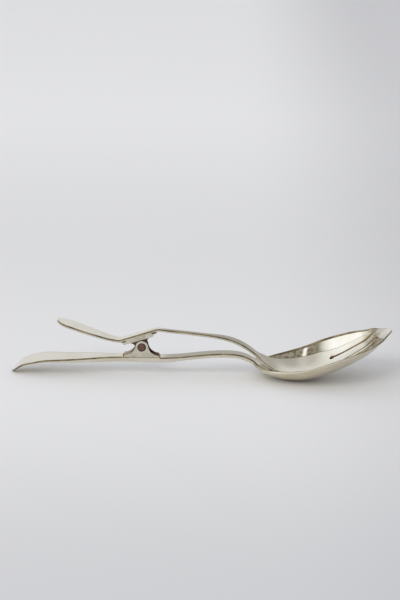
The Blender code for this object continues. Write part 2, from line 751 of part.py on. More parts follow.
def make_closing_spring(collection, finish):
    path = spring_path()
    print(f"closing_spring: least gap between turns {least_gap(path) * MILLIMETRES:.2f} mm")
    curve = bpy.data.curves.new("closing_spring", "CURVE")
    curve.dimensions = "3D"
    curve.bevel_depth = SPRING_WIRE / 2
    curve.bevel_resolution = WIRE_BEVEL_STEPS
    curve.use_fill_caps = True
    line = curve.splines.new("POLY")
    line.points.add(len(path) - 1)
    for point, place_of in zip(line.points, path):
        point.co = (*place_of, 1)
    curve.materials.append(finish)
    spring = bpy.data.objects.new("closing_spring", curve)
    collection.objects.link(spring)
    return spring


def add_empty(name, collection, location, parent=None):
    empty = bpy.data.objects.new(name, None)
    empty.location = location
    empty.parent = parent
    collection.objects.link(empty)
    return empty


def stand_at_origin(root, pieces):
    """Centres the assembly over the origin with its lowest point on the table."""
    bpy.context.view_layer.update()
    graph = bpy.context.evaluated_depsgraph_get()
    corners = []
    for piece in pieces:
        evaluated = piece.evaluated_get(graph)
        mesh = evaluated.to_mesh()
        corners += [evaluated.matrix_world @ vertex.co for vertex in mesh.vertices]
        evaluated.to_mesh_clear()
    low = np.min(corners, axis=0)
    high = np.max(corners, axis=0)
    root.location.x -= (low[0] + high[0]) / 2
    root.location.z -= low[2]
    size = (high - low) * MILLIMETRES
    print(f"overall {size[0]:.1f} x {size[1]:.1f} x {size[2]:.1f} mm")
    print(f"lowest point was at {low[2] * MILLIMETRES:.3f} mm")


def main():
    clear_scene()
    servers = bpy.data.collections.new("hinged_salad_servers")
    cutters = bpy.data.collections.new("cutters")
    bpy.context.scene.collection.children.link(servers)
    bpy.context.scene.collection.children.link(cutters)
    silver = material("worn_silver_plate", (0.80, 0.77, 0.69), 0.22)
    bracket = material("dull_silver_plate", (0.62, 0.60, 0.55), 0.38)
    pin_steel = material("browned_steel", (0.13, 0.075, 0.06), 0.55)
    spring_steel = material("spring_steel", (0.20, 0.16, 0.13), 0.45)

    root = add_empty("servers_root", servers, (0, 0, 0))
    pivot = add_empty("spoon_pivot", servers, (PIVOT, 0, PIVOT_HEIGHT), root)
    fork_axis = add_empty("fork_axis", servers, (PIVOT, 0, PIVOT_HEIGHT), root)

    spoon = make_spoon_arm(servers, silver)
    spoon.parent = root
    arm, slots = make_fork_arm(servers, cutters, silver)
    for piece in (arm, *slots):
        piece.parent = fork_axis
        piece.location.x -= PIVOT
        piece.location.z -= PIVOT_HEIGHT

    lower = make_lower_yoke(servers, cutters, bracket)
    for piece in lower:
        piece.parent = pivot
        piece.rotation_euler.x = QUARTER_TURN
    upper = make_upper_yoke(servers, cutters, bracket)
    for piece in upper:
        piece.parent = fork_axis
        piece.rotation_euler = (QUARTER_TURN, -FORK_SEAT_ANGLE, 0)
    for bore in (lower[-1], upper[-1]):
        bore.rotation_euler = (QUARTER_TURN, 0, 0)
    pin = make_hinge_pin(servers, pin_steel)
    pin.parent = pivot
    pin.rotation_euler.x = QUARTER_TURN
    spring = make_closing_spring(servers, spring_steel)
    spring.parent = pivot
    stand_at_origin(root, (spoon, arm, lower[0], upper[0], pin, spring))


main()
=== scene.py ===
"""Looks of the one-hand salad servers: fine silver arms, bevelled hinge, braze, floor and light.

Metres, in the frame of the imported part: +X towards the bowls, +Z up, the table at Z = 0.
Places along X are measured from the tip of the handle and then moved to the part's place.
"""

import json
import math

import bmesh
import bpy
import numpy as np
from mathutils import Matrix, Vector

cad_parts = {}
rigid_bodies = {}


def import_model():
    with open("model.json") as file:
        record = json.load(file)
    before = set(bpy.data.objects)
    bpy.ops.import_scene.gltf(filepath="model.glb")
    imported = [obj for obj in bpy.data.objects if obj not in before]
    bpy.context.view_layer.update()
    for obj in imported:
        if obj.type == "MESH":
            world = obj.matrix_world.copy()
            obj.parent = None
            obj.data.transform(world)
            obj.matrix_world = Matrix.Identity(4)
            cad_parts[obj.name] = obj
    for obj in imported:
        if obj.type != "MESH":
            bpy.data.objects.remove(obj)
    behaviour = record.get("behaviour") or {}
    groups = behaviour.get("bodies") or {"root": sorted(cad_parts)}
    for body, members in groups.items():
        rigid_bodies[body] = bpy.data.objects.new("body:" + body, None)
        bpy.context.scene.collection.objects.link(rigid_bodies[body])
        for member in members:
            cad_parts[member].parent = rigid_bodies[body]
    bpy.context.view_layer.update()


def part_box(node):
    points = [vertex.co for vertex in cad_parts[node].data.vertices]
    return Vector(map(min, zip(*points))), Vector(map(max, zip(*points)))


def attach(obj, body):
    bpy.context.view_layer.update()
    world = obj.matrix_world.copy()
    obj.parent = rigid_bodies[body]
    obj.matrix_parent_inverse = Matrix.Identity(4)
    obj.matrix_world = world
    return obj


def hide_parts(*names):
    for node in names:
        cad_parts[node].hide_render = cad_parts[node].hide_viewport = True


# Camera: elevation, roll, target and distance, and the focal length in pixels of the photograph
ELEVATION = math.radians(15.3)
ROLL = math.radians(1.407)
TARGET = (-0.001887, 0, 0.053932)
DISTANCE = 1.530
FOCAL_PIXELS = 2250
FRAME_HEIGHT_PIXELS = 600
SENSOR_HEIGHT = 36

# Spoon arm, along its length from the tip of the handle
HANDLE_LENGTH = 0.0763
SEAT_LENGTH = 0.0250
SHANK_LENGTH = 0.0647
BOWL_LENGTH = 0.0928

# Spoon arm, heights of its upper face above the table
SEAT_HEIGHT = 0.0136
HUMP_RISE = 0.0039
SPOON_TIP_HEIGHT = 0.0364

# Spoon arm, widths and thicknesses
HANDLE_WIDTH = 0.0226
HANDLE_END_LENGTH = 0.0200
HINGE_WIDTH = 0.0095
NECK_WIDTH = 0.0100
BOWL_WIDTH = 0.0616
BOWL_DISH = 0.0163
BOWL_FRONT_DISH = 0.0143
HANDLE_CROWN = 0.0005
HANDLE_TIP_THICKNESS = 0.0012
HANDLE_TIP_HEIGHT = 0.0010
SPOON_HINGE_THICKNESS = 0.0034
SPOON_SHANK_THICKNESS = 0.0027
SPOON_BOWL_THICKNESS = 0.0012

# Fork arm
LEVER_LENGTH = 0.0446
LEVER_RISE = 0.0119
LEVER_WIDTH = 0.0174
LEVER_END_LENGTH = 0.0075
LEVER_CROWN = 0.0003
LEVER_ROOT_WIDTH = 0.0082
FORK_SHANK_WIDTH = 0.0047
FORK_NECK_WIDTH = 0.0102
FORK_BOWL_WIDTH = 0.0434
FORK_THICKNESS = 0.0018
FORK_BOWL_THICKNESS = 0.0013
FORK_SHORTFALL = 0.0095
FORK_TIP_LIFT = 0.0020
NEST_START = 0.0180
NEST_GAP = 0.0004

# Fork tines
SLOT_PITCH = 0.0114
SLOT_TIP_PITCH = 0.0090
SLOT_WIDTH = 0.0018
SLOT_ROOT_DIAMETER = 0.0034
SLOT_DEPTH = 0.0313
TINE_TAPER_LENGTH = 0.0120
TINE_TIP_WIDTH = 0.0032

# Hinge
PIVOT_HEIGHT = 0.0207
FORK_SEAT_ANGLE = math.radians(17.9)
PIN_DIAMETER = 0.0053
PIN_PROUD = 0.0002
PIN_GAP = 0.0003
LOWER_EAR_RADIUS = 0.0043
LOWER_EAR_HALF_FOOT = 0.0118
LOWER_EAR_THICKNESS = 0.0011
LOWER_BASE_THICKNESS = 0.0010
UPPER_EAR_RADIUS = 0.0041
UPPER_EAR_HALF_FOOT = 0.0080
UPPER_EAR_THICKNESS = 0.0009
UPPER_PLATE_LENGTH = 0.0230
UPPER_PLATE_WIDTH = 0.0080
UPPER_PLATE_THICKNESS = 0.0018
UPPER_PLATE_DROP = 0.0048
UPPER_PLATE_SLANT = 0.0022
EAR_GAP = 0.0003
BRAZE_GAP = 0.0001

# Closing spring, a torsion coil round the pin
SPRING_WIRE = 0.0008
SPRING_TURNS = 2
SPRING_LEG_LENGTH = 0.0080
SPRING_GAP = 0.0003

# Edges, finer than in the solids
EDGE_ROUND = 0.0008
ROUND_SHARE = 0.48
END_HALF_WIDTH = 0.0009
EAR_BEVEL = 0.00022
BEVEL_STEPS = 3
PIN_ROUND = 0.0005
PIN_DOME = 0.00012
OVERRUN = 0.0030
WELD = 0.000003
SLOPE_STEP = 0.00002
SKIN = 0.00002
QUARTER_TURN = math.pi / 2
SHARP_ANGLE = math.radians(35)

# Solder that fills the seam between the upper plate and the fork arm
SOLDER_ABOVE = 0.0011
SOLDER_BELOW = 0.0012
SOLDER_WIDTH = 0.0081

# Braze at the ends of both yokes: its beads swell and shrink in waves with finer ripples on them
BRAZE_RADIUS = 0.00080
BRAZE_FLATNESS_SHARE = 0.75
BRAZE_WAVES = 3.5
BRAZE_WAVE_SHARE = 0.28
BRAZE_RIPPLES_PER_WAVE = 2.3
BEAD_END_POWER = 6
BEAD_END_LEAST = 0.02

# Fineness
HANDLE_STATIONS = 64
SEAT_STATIONS = 8
SHANK_STATIONS = 60
BOWL_STATIONS = 96
LEVER_STATIONS = 56
FINE_PER_STATION = 12
ACROSS = 56
CORNER_STEPS = 5
# Faces round each upper corner that carry its painted dark reflection
PAINTED_CORNER_STEPS = 5
ARC_STEPS = 24
FLARE_STEPS = 10
PIN_SIDES = 96
CURL_POINTS = 40
SPRING_OVERLAP_POINTS = 6
WIRE_BEVEL_STEPS = 5
BEAD_STEPS = 36
BEAD_SIDES = 16
FLOOR_STEPS = 24

# Places that follow from the sizes above
SEAT_START = HANDLE_LENGTH
SEAT_END = SEAT_START + SEAT_LENGTH
SHOULDER = SEAT_END + SHANK_LENGTH
SPOON_TIP = SHOULDER + BOWL_LENGTH
FORK_TIP = SPOON_TIP - FORK_SHORTFALL
PIVOT = (SEAT_START + SEAT_END) / 2
HINGE_HALF_WIDTH = HINGE_WIDTH / 2
HANDLE_SPREAD = (HANDLE_WIDTH - HINGE_WIDTH) / 2
LEVER_SPREAD = (LEVER_WIDTH - LEVER_ROOT_WIDTH) / 2
NEST = SHOULDER + NEST_START
LOWER_FOOT = PIVOT_HEIGHT - SEAT_HEIGHT - BRAZE_GAP
LOWER_BASE_TOP = LOWER_FOOT - LOWER_BASE_THICKNESS
LOWER_EAR_INNER = HINGE_HALF_WIDTH - LOWER_EAR_THICKNESS
UPPER_EAR_OUTER = LOWER_EAR_INNER - EAR_GAP
UPPER_EAR_INNER = UPPER_EAR_OUTER - UPPER_EAR_THICKNESS
UPPER_PLATE_TOP = UPPER_PLATE_DROP + UPPER_PLATE_THICKNESS
SPRING_RADIUS = PIN_DIAMETER / 2 + SPRING_GAP + SPRING_WIRE / 2

# Turns that stand a flat outline upright across the hinge, and that tilt it to the fork's seat
UPRIGHT = Matrix.Rotation(QUARTER_TURN, 4, "X")
SEAT_TILT = Matrix.Rotation(-FORK_SEAT_ANGLE, 4, "Y")

# Outlines, as shares of the lengths and heights that they follow
HANDLE_LINE_SHARES = ((0.09, 0.54), (0.18, 0.73), (0.27, 0.845), (0.40, 0.885), (0.70, 0.945))
SHANK_LINE_SHARES = ((0.19, 0.17), (0.38, 0.56), (0.57, 0.90), (0.70, 1.0), (0.82, 0.89), (0.92, 0.45))
BOWL_LINE_SHARES = (
    (0.0, 0.318), (0.09, 0.155), (0.19, 0.045), (0.34, 0.0), (0.46, 0.060), (0.56, 0.157),
    (0.66, 0.281), (0.76, 0.434), (0.88, 0.688), (0.95, 0.917), (1.0, 1.0),
)
HANDLE_WIDTH_SHARES = (
    (0.0, 1.0), (0.25, 1.0), (0.36, 0.91), (0.48, 0.74), (0.62, 0.55), (0.74, 0.33),
    (0.87, 0.09), (1.0, 0.0),
)
LEVER_LINE_SHARES = ((1.0, 1.06), (0.85, 0.905), (0.60, 0.585), (0.34, 0.25), (0.21, 0.095), (0.12, 0.02))
LEVER_WIDTH_SHARES = ((1, 1), (0.72, 1), (0.55, 0.91), (0.42, 0.72), (0.28, 0.46), (0.12, 0.19), (0, 0))
FORK_LINE_SHARES = (
    (0.05, 0.998), (0.17, 0.960), (0.32, 0.918), (0.46, 0.873), (0.57, 0.818), (0.68, 0.690),
    (0.785, 0.470), (0.88, 0.213), (0.94, 0.078),
)
BELLY_THICKNESS_SHARE = 0.26
BOWL_WIDEST_SHARE = 0.506
DISH_START_SHARE = 0.88
DISH_END_SHARE = 0.17
TIP_FLAT_SHARE = 0.85
TIP_FLATTENING_SHARE = 0.85
POINT_START_SHARE = 0.72
NECK_SHARE = 0.95
THINNED_SHARE = 0.30
FORK_NARROWEST_SHARE = 0.20
FORK_WAIST_SHARE = 0.38
FORK_SEAT_SHARE = 1.06
TIP_LIFT_START_SHARE = 0.35
FORK_NARROWING_SHARE = 0.28

# Powers that shape the outlines of both bowls, their shoulders and the taper of the tines
BOWL_BACK_POWER = 1.5
BOWL_FRONT_POWER = 2.1
BOWL_POINT_POWER = 0.95
SHOULDER_BLEND_POWER = 4.0
FORK_BACK_POWER = 1.9
FORK_SIDE_POWER = 0.8
FORK_END_POWER = 24
TINE_TAPER_POWER = 1.5

# Where both bowls are widest
BOWL_MIDDLE = SHOULDER + BOWL_WIDEST_SHARE * BOWL_LENGTH

# Numbers of an arm's finishes, round its section; the upper corner's finish is a painted dark reflection
UPPER_FACE, EDGE, UPPER_CORNER, UNDERSIDE = range(4)

# Sockets of the colour Mix node, whose names repeat
MIX_SHARE, MIX_FIRST, MIX_SECOND, MIX_RESULT = 0, 6, 7, 2

# Noise: scale, detail, roughness and, for the polishing lines, how it is stretched
CLOUDS = (42, 5, 0.6)
LINES = (700, 3, 0.6, (0.06, 1, 1))
SPECKS = (900, 2, 0.5)
DENTS = (9, 2, 0.4)
BLOTCHES = (190, 4, 0.6)
BURNS = (420, 4, 0.65)
FIBRES = (220, 4, 0.6)
STUDIO_CLOUDS = (15, 4, 0.6)

# The range of a noise over which one colour gives way to another, where metals share it
CLOUDY = (0.38, 0.68)
MIDDLE = (0.35, 0.65)
RUSTY = (0.40, 0.64)

# Metals in patches of two colours: the one where the patches' noise is low, the one where it is
# high, the range over which they change, the noise of the patches and the noise of the grain
PLATE = ((0.87, 0.86, 0.81), (0.80, 0.77, 0.68), CLOUDY, CLOUDS, LINES)
PATCHES = {
    "polished_silver_plate": PLATE,
    "satin_silver_plate": PLATE,
    "warm_silver_plate": ((0.81, 0.755, 0.62), (0.75, 0.66, 0.48), CLOUDY, CLOUDS, LINES),
    "worn_edge": ((0.66, 0.61, 0.47), (0.76, 0.73, 0.63), (0.30, 0.70), (70, 3, 0.5), (1400, 2, 0.5)),
    # The next finish lies along the upper corners: a painted dark reflection of the studio overhead
    "corner_painted_reflection": ((0.14, 0.11, 0.06), (0.42, 0.34, 0.20), (0.42, 0.70), (110, 4, 0.6), (1200, 2, 0.5)),
    # The next finish, on the slot walls, is brown with painted shade
    "slot_stain_and_shade": ((0.14, 0.07, 0.03), (0.36, 0.21, 0.08), (0.38, 0.62), (260, 4, 0.6), (260, 4, 0.6)),
    "dull_bracket_plate": ((0.62, 0.60, 0.52), (0.50, 0.46, 0.36), MIDDLE, (240, 5, 0.62), (1600, 3, 0.6)),
    "stained_channel": ((0.035, 0.017, 0.012), (0.15, 0.065, 0.03), RUSTY, (420, 5, 0.65), (2000, 3, 0.6)),
    "braze_rust": ((0.17, 0.08, 0.04), (0.50, 0.29, 0.13), RUSTY, (900, 5, 0.65), (4500, 3, 0.6)),
    # The next finish, inside the hinge, is rust with painted shade, near black
    "rust_and_shade_inside": ((0.05, 0.032, 0.022), (0.20, 0.10, 0.05), RUSTY, (500, 5, 0.65), (2500, 3, 0.6)),
    "browned_steel": ((0.045, 0.022, 0.017), (0.20, 0.11, 0.08), RUSTY, (700, 5, 0.65), (3500, 3, 0.6)),
    "oiled_wire": ((0.10, 0.08, 0.065), (0.26, 0.21, 0.17), RUSTY, (900, 5, 0.65), (4500, 3, 0.6)),
}

# Their surfaces: how metallic, the range of wear and the roughness at both its ends, and the
# strength and depth of the relief
SURFACES = {
    "polished_silver_plate": (0.95, (0.35, 0.65, 0.04, 0.11), (0.25, 0.0005)),
    "satin_silver_plate": (0.80, (0.35, 0.65, 0.26, 0.40), (0.25, 0.0005)),
    "warm_silver_plate": (0.82, (0.35, 0.65, 0.14, 0.26), (0.25, 0.0005)),
    "worn_edge": (1.0, (0.3, 0.7, 0.20, 0.34), (0.2, 0.0001)),
    "corner_painted_reflection": (0.65, (0.3, 0.7, 0.45, 0.28), (0.2, 0.0001)),
    "slot_stain_and_shade": (0.6, (0.3, 0.7, 0.40, 0.65), (0.3, 0.0002)),
    "dull_bracket_plate": (0.65, (0.3, 0.7, 0.34, 0.55), (0.4, 0.00012)),
    "stained_channel": (0.5, (0.3, 0.7, 0.5, 0.8), (0.4, 0.00015)),
    "braze_rust": (0.2, (0.3, 0.7, 0.55, 0.85), (0.5, 0.00015)),
    "rust_and_shade_inside": (0.5, (0.3, 0.7, 0.5, 0.8), (0.5, 0.00015)),
    "browned_steel": (0.4, (0.3, 0.7, 0.42, 0.7), (0.5, 0.00015)),
    "oiled_wire": (0.9, (0.3, 0.7, 0.32, 0.5), (0.5, 0.00015)),
}
WEAR_SHARE = 0.5
LINE_RELIEF_SHARE = 0.08

# Stains that cover them; among them painted dark reflections on the shank tops and tips, and a painted
# shadow at the end of the handle
SPECK = (0.30, 0.22, 0.12)
SHANK_PAINTED_REFLECTION = (0.24, 0.21, 0.145)
TIP_PAINTED_REFLECTION = (0.21, 0.175, 0.095)
HANDLE_END_PAINTED_SHADOW = (0.16, 0.13, 0.08)
SLOT_GOLD = (0.66, 0.50, 0.26)
BURN = (0.26, 0.15, 0.07)
CHANNEL_PALE = (0.62, 0.58, 0.49)
CHANNEL_DULL = (0.40, 0.33, 0.23)

# Where stains and painted reflections show: a range of noise, and how much of each shows at both its ends
SPECK_SPAN = (0.66, 0.78, 0.0, 0.35)
GRAIN_SPAN = (0.62, 0.75, 0.0, 0.3)
BLOTCH_SPAN = (0.40, 0.56, 0.25, 0.80)
BURN_SPAN = (0.60, 0.70, 0.0, 0.75)

# The same with a range of how far up a face looks, as Z of its normal
TOP_SPAN = (0.55, 0.90, 0.0, 0.70)
TIP_SPAN = (0.1, 0.5)

# The same with a range of X, in the part's frame, or from the pivot for the channel
SHANK_SPANS = ((-0.030, -0.022), (0.046, 0.032))
TIP_SPANS = ((0.1100, 0.1150), (0.1270, 0.1190))
HANDLE_SPAN = (-0.114, -0.123, 0.0, 0.85)
GOLD_SPAN = (0.090, 0.112, 0.0, 0.8)
CHANNEL_SPAN = (-0.0015, -0.0045)

# Paper of the floor, by Y: its tone in front, darkened as painted shade, below the object, and far behind
# it, lightened as painted light
FLOOR_REACH = 6.0
FLOOR_FRONT = (0.550, 0.555, 0.575)
FLOOR_FRONT_SPAN = (-0.45, 0.0)
FLOOR_NEAR = (0.755, 0.759, 0.770)
FLOOR_FAR_SPAN = (0.25, 1.05)
FLOOR_FAR = (0.915, 0.918, 0.925)

# By X it dims to the right as painted shade, and its fibres are a little grey
FLOOR_DIM = (0.32, 0.32, 0.36)
FLOOR_DIM_SPAN = (0.03, 0.24, 0.0, 0.34)
FIBRE = (0.45, 0.45, 0.45)
FIBRE_SPAN = (0.3, 0.7, 0.0, 0.03)
PAPER_SHINE = 0.15
PAPER_ROUGHNESS = 0.9

# What the camera sees behind the floor, and the even light that falls on rough surfaces
BACKGROUND = (0.640, 0.645, 0.660)
DOME_LIGHT = (0.770, 0.773, 0.788)

# The studio that metal reflects. Its spans are of the direction's X, across, or Z, upwards.
SURROUND_PALE = (0.740, 0.730, 0.710)
SURROUND_DARK = (0.110, 0.078, 0.020)
DARK_RIGHT_SPAN = (0.16, 0.50, 0.0, 0.75)
DARK_OVERHEAD_SPAN = (0.70, 0.88)
DARK_LEFT_SPAN = (-0.80, -0.90)
DARK_LEFT_RISE = (0.2, 0.4, 0.0, 0.8)
STUDIO_CLOUDS_SPAN = (0.40, 0.60, 0.60, 1.0)
WINDOW_SEEN = (1.14, 1.14, 1.13)
WINDOW_SPANS = (("X", -0.33, -0.46), ("X", -0.90, -0.80), ("Z", 0.40, 0.60))
SLIT_PLACE = -0.07
SLIT_SPAN = (0.065, 0.020)

# The lamp in front of the object
SOFTBOX_PLACE = (-0.62, -1.35, 1.15)
SOFTBOX_AIM = (0.0, 0.0, 0.0)
SOFTBOX_SIZE = (0.80, 0.80)
SOFTBOX_POWER = 14.0
SOFTBOX_COLOUR = (1.0, 0.985, 0.95)


def spline(points, start_slope=None, end_slope=None):
    """A cubic through every point whose slope and bend never jump, as a function of x."""
    x, z = np.array(sorted(points)).T
    step = np.diff(x)
    rise = np.diff(z) / step
    last = len(x) - 1
    system = np.zeros((last + 1, last + 1))
    target = np.zeros(last + 1)
    system[0, 0] = 1
    system[last, last] = 1
    if start_slope is not None:
        system[0, :2] = 2 * step[0], step[0]
        target[0] = 6 * (rise[0] - start_slope)
    if end_slope is not None:
        system[last, last - 1 :] = step[-1], 2 * step[-1]
        target[last] = 6 * (end_slope - rise[-1])
    for i in range(1, last):
        system[i, i - 1 : i + 2] = step[i - 1], 2 * (step[i - 1] + step[i]), step[i]
        target[i] = 6 * (rise[i] - rise[i - 1])
    bend = np.linalg.solve(system, target)

    def value(at):
        i = min(max(int(np.searchsorted(x, at)) - 1, 0), last - 1)
        to_end = (x[i + 1] - at) / step[i]
        from_start = (at - x[i]) / step[i]
        straight = to_end * z[i] + from_start * z[i + 1]
        curve_start = (to_end**3 - to_end) * bend[i]
        curve_end = (from_start**3 - from_start) * bend[i + 1]
        return straight + (curve_start + curve_end) * step[i] ** 2 / 6

    return value


def ramp(at, start, end):
    """0 before start, 1 after end, and a smooth change between them."""
    share = min(max((at - start) / (end - start), 0), 1)
    return share**3 * (share * (share * 6 - 15) + 10)


def slope_of(line, at):
    """How steeply a line rises, given as a function, at one place along it."""
    return (line(at + SLOPE_STEP) - line(at - SLOPE_STEP)) / (2 * SLOPE_STEP)


def placed(shares, start, length, foot, rise):
    """Points from their shares of a length and of a rise."""
    return [(start + share * length, foot + part * rise) for share, part in shares]


def handle_line():
    points = placed(HANDLE_LINE_SHARES, 0, HANDLE_LENGTH, 0, SEAT_HEIGHT)
    return spline(points + [(0, HANDLE_TIP_HEIGHT), (SEAT_START, SEAT_HEIGHT)], end_slope=0)


def shank_and_bowl_line():
    shank = placed(SHANK_LINE_SHARES, SEAT_END, SHANK_LENGTH, SEAT_HEIGHT, HUMP_RISE)
    belly = SPOON_BOWL_THICKNESS + BELLY_THICKNESS_SHARE * (SPOON_SHANK_THICKNESS - SPOON_BOWL_THICKNESS)
    bowl = placed(BOWL_LINE_SHARES, SHOULDER, BOWL_LENGTH, belly, SPOON_TIP_HEIGHT - belly)
    return spline([(SEAT_END, SEAT_HEIGHT), *shank, *bowl], start_slope=0)


HANDLE_LINE = handle_line()
BOWL_LINE = shank_and_bowl_line()


def spoon_line(x):
    """Height of the spoon's upper face along its middle, flat where the hinge stands."""
    if x < SEAT_START:
        return HANDLE_LINE(x)
    if x < SEAT_END:
        return SEAT_HEIGHT
    return BOWL_LINE(x)


def dish_across(x):
    """How fast both bowls rise to their sides: their sections are parabolas."""
    start = SEAT_END + DISH_START_SHARE * SHANK_LENGTH
    end = SHOULDER + DISH_END_SHARE * BOWL_LENGTH
    depth = BOWL_DISH + ramp(x, end, BOWL_MIDDLE) * (BOWL_FRONT_DISH - BOWL_DISH)
    flat = TIP_FLATTENING_SHARE * ramp(x, SHOULDER + TIP_FLAT_SHARE * BOWL_LENGTH, SPOON_TIP)
    return ramp(x, start, end) * (1 - flat) * depth / (BOWL_WIDTH / 2) ** 2


def spoon_surface(x, y):
    crown = (1 - ramp(x, 0, SEAT_START)) * HANDLE_CROWN / (HANDLE_WIDTH / 2) ** 2
    return spoon_line(x) + (dish_across(x) - crown) * y**2


def bowl_share(x, tip):
    """How far x lies from the bowl's widest place, as a share of the way to its end."""
    reach = tip - BOWL_MIDDLE if x > BOWL_MIDDLE else BOWL_MIDDLE - SHOULDER
    return min(abs(x - BOWL_MIDDLE) / reach, 1)


def spoon_outline(x):
    """Half width of the spoon's bowl, an egg shape from the shoulders to a point."""
    share = bowl_share(x, SPOON_TIP)
    front = BOWL_FRONT_POWER + ramp(share, POINT_START_SHARE, 1) * (BOWL_POINT_POWER - BOWL_FRONT_POWER)
    power = front if x > BOWL_MIDDLE else BOWL_BACK_POWER
    return BOWL_WIDTH / 2 * math.sqrt(1 - share**power)


def fork_outline(x):
    """Half width of the fork's bowl, whose sides run in gently to square tines."""
    share = bowl_share(x, FORK_TIP)
    if x < BOWL_MIDDLE:
        return FORK_BOWL_WIDTH / 2 * math.sqrt(1 - share**FORK_BACK_POWER)
    side = 1 - FORK_NARROWING_SHARE * share**FORK_SIDE_POWER
    return FORK_BOWL_WIDTH / 2 * side * math.sqrt(1 - share**FORK_END_POWER)


def rounded_end(distance, length):
    """Share of the full width at a distance from a round end that is one length long."""
    share = min(max(distance / length, 0), 1)
    return math.sqrt(1 - (1 - share) ** 2)


def shank_half_width(x):
    neck = SEAT_END + NECK_SHARE * SHANK_LENGTH
    return HINGE_HALF_WIDTH + ramp(x, SEAT_END, neck) * (NECK_WIDTH - HINGE_WIDTH) / 2


def with_bowl(strip, bowl):
    """Widths of the shank and of the bowl, joined by a hollow shoulder."""
    power = SHOULDER_BLEND_POWER
    return (strip**power + bowl**power) ** (1 / power)


def fading(strip, x, tip):
    """The shank's width, which dies away under the bowl so that the tip keeps its point."""
    return strip + ramp(x, BOWL_MIDDLE, tip) * (END_HALF_WIDTH - strip)


HANDLE_EXTRA = spline(placed(HANDLE_WIDTH_SHARES, 0, HANDLE_LENGTH, 0, HANDLE_SPREAD), end_slope=0)
LEVER_EXTRA = spline(placed(LEVER_WIDTH_SHARES, 0, LEVER_LENGTH, 0, LEVER_SPREAD))


def spoon_half_width(x):
    if x < SEAT_START:
        wide = HINGE_HALF_WIDTH + HANDLE_EXTRA(x)
        return max(wide * rounded_end(x, HANDLE_END_LENGTH), END_HALF_WIDTH)
    if x < SEAT_END:
        return HINGE_HALF_WIDTH
    strip = fading(shank_half_width(x), x, SPOON_TIP)
    return with_bowl(strip, spoon_outline(x))


def spoon_thickness(x):
    growing = ramp(x, 0, SEAT_START) * (SPOON_HINGE_THICKNESS - HANDLE_TIP_THICKNESS)
    neck = SEAT_END + NECK_SHARE * SHANK_LENGTH
    thinned = SEAT_END + THINNED_SHARE * SHANK_LENGTH
    to_shank = ramp(x, SEAT_END, thinned) * (SPOON_SHANK_THICKNESS - SPOON_HINGE_THICKNESS)
    to_bowl = ramp(x, neck, BOWL_MIDDLE) * (SPOON_BOWL_THICKNESS - SPOON_SHANK_THICKNESS)
    return HANDLE_TIP_THICKNESS + growing + to_shank + to_bowl


def fork_seat_point(along):
    """A point of the sloping underside over the hinge, by its distance from the pivot's foot."""
    lift = UPPER_PLATE_TOP + BRAZE_GAP
    x = PIVOT + along * math.cos(FORK_SEAT_ANGLE) - lift * math.sin(FORK_SEAT_ANGLE)
    z = PIVOT_HEIGHT + along * math.sin(FORK_SEAT_ANGLE) + lift * math.cos(FORK_SEAT_ANGLE)
    return x, z


FORK_SEAT_HALF = FORK_SEAT_SHARE * UPPER_PLATE_LENGTH / 2
FORK_SEAT_START, LEVER_ROOT_HEIGHT = fork_seat_point(-FORK_SEAT_HALF)
FORK_SEAT_END, FORK_SHANK_HEIGHT = fork_seat_point(FORK_SEAT_HALF)
LEVER_END = FORK_SEAT_START - LEVER_LENGTH


def lever_line():
    points = placed(LEVER_LINE_SHARES, FORK_SEAT_START, -LEVER_LENGTH, LEVER_ROOT_HEIGHT, LEVER_RISE)
    return spline(points + [(FORK_SEAT_START, LEVER_ROOT_HEIGHT)], end_slope=math.tan(FORK_SEAT_ANGLE))


def fork_shank_line():
    span = NEST - FORK_SEAT_END
    foot = spoon_line(NEST)
    points = placed(FORK_LINE_SHARES, FORK_SEAT_END, span, foot, FORK_SHANK_HEIGHT - foot)
    ends = [(FORK_SEAT_END, FORK_SHANK_HEIGHT), (NEST, foot)]
    return spline(points + ends, math.tan(FORK_SEAT_ANGLE), slope_of(spoon_line, NEST))


LEVER_LINE = lever_line()
FORK_SHANK_LINE = fork_shank_line()


def fork_line(x):
    """Height of the fork's underside along its middle, which lies on the spoon's bowl."""
    if x < FORK_SEAT_START:
        return LEVER_LINE(x)
    if x < FORK_SEAT_END:
        return LEVER_ROOT_HEIGHT + (x - FORK_SEAT_START) * math.tan(FORK_SEAT_ANGLE)
    if x < NEST:
        return FORK_SHANK_LINE(x)
    lift_start = NEST + TIP_LIFT_START_SHARE * (FORK_TIP - NEST)
    return spoon_line(x) + FORK_TIP_LIFT * ramp(x, lift_start, FORK_TIP)


def fork_surface(x, y):
    crown = (1 - ramp(x, LEVER_END, FORK_SEAT_START)) * LEVER_CROWN / (LEVER_WIDTH / 2) ** 2
    return fork_line(x) + (dish_across(x) - crown) * y**2


def fork_shank_half_width(x):
    """The arm narrows from the lever's root to its waist, then widens to the neck."""
    span = SHOULDER - FORK_SEAT_END
    narrowest = FORK_SEAT_END + FORK_NARROWEST_SHARE * span
    waist = FORK_SEAT_END + FORK_WAIST_SHARE * span
    neck = FORK_SEAT_END + NECK_SHARE * span
    narrowing = ramp(x, FORK_SEAT_START, narrowest) * (LEVER_ROOT_WIDTH - FORK_SHANK_WIDTH) / 2
    to_neck = ramp(x, waist, neck) * (FORK_NECK_WIDTH - FORK_SHANK_WIDTH) / 2
    return LEVER_ROOT_WIDTH / 2 - narrowing + to_neck


def fork_half_width(x):
    if x < FORK_SEAT_START:
        wide = LEVER_ROOT_WIDTH / 2 + LEVER_EXTRA(FORK_SEAT_START - x)
        return max(wide * rounded_end(x - LEVER_END, LEVER_END_LENGTH), END_HALF_WIDTH)
    strip = fading(fork_shank_half_width(x), x, FORK_TIP)
    return with_bowl(strip, fork_outline(x))


def fork_thickness(x):
    return FORK_THICKNESS + ramp(x, SHOULDER, NEST) * (FORK_BOWL_THICKNESS - FORK_THICKNESS)


# Node trees


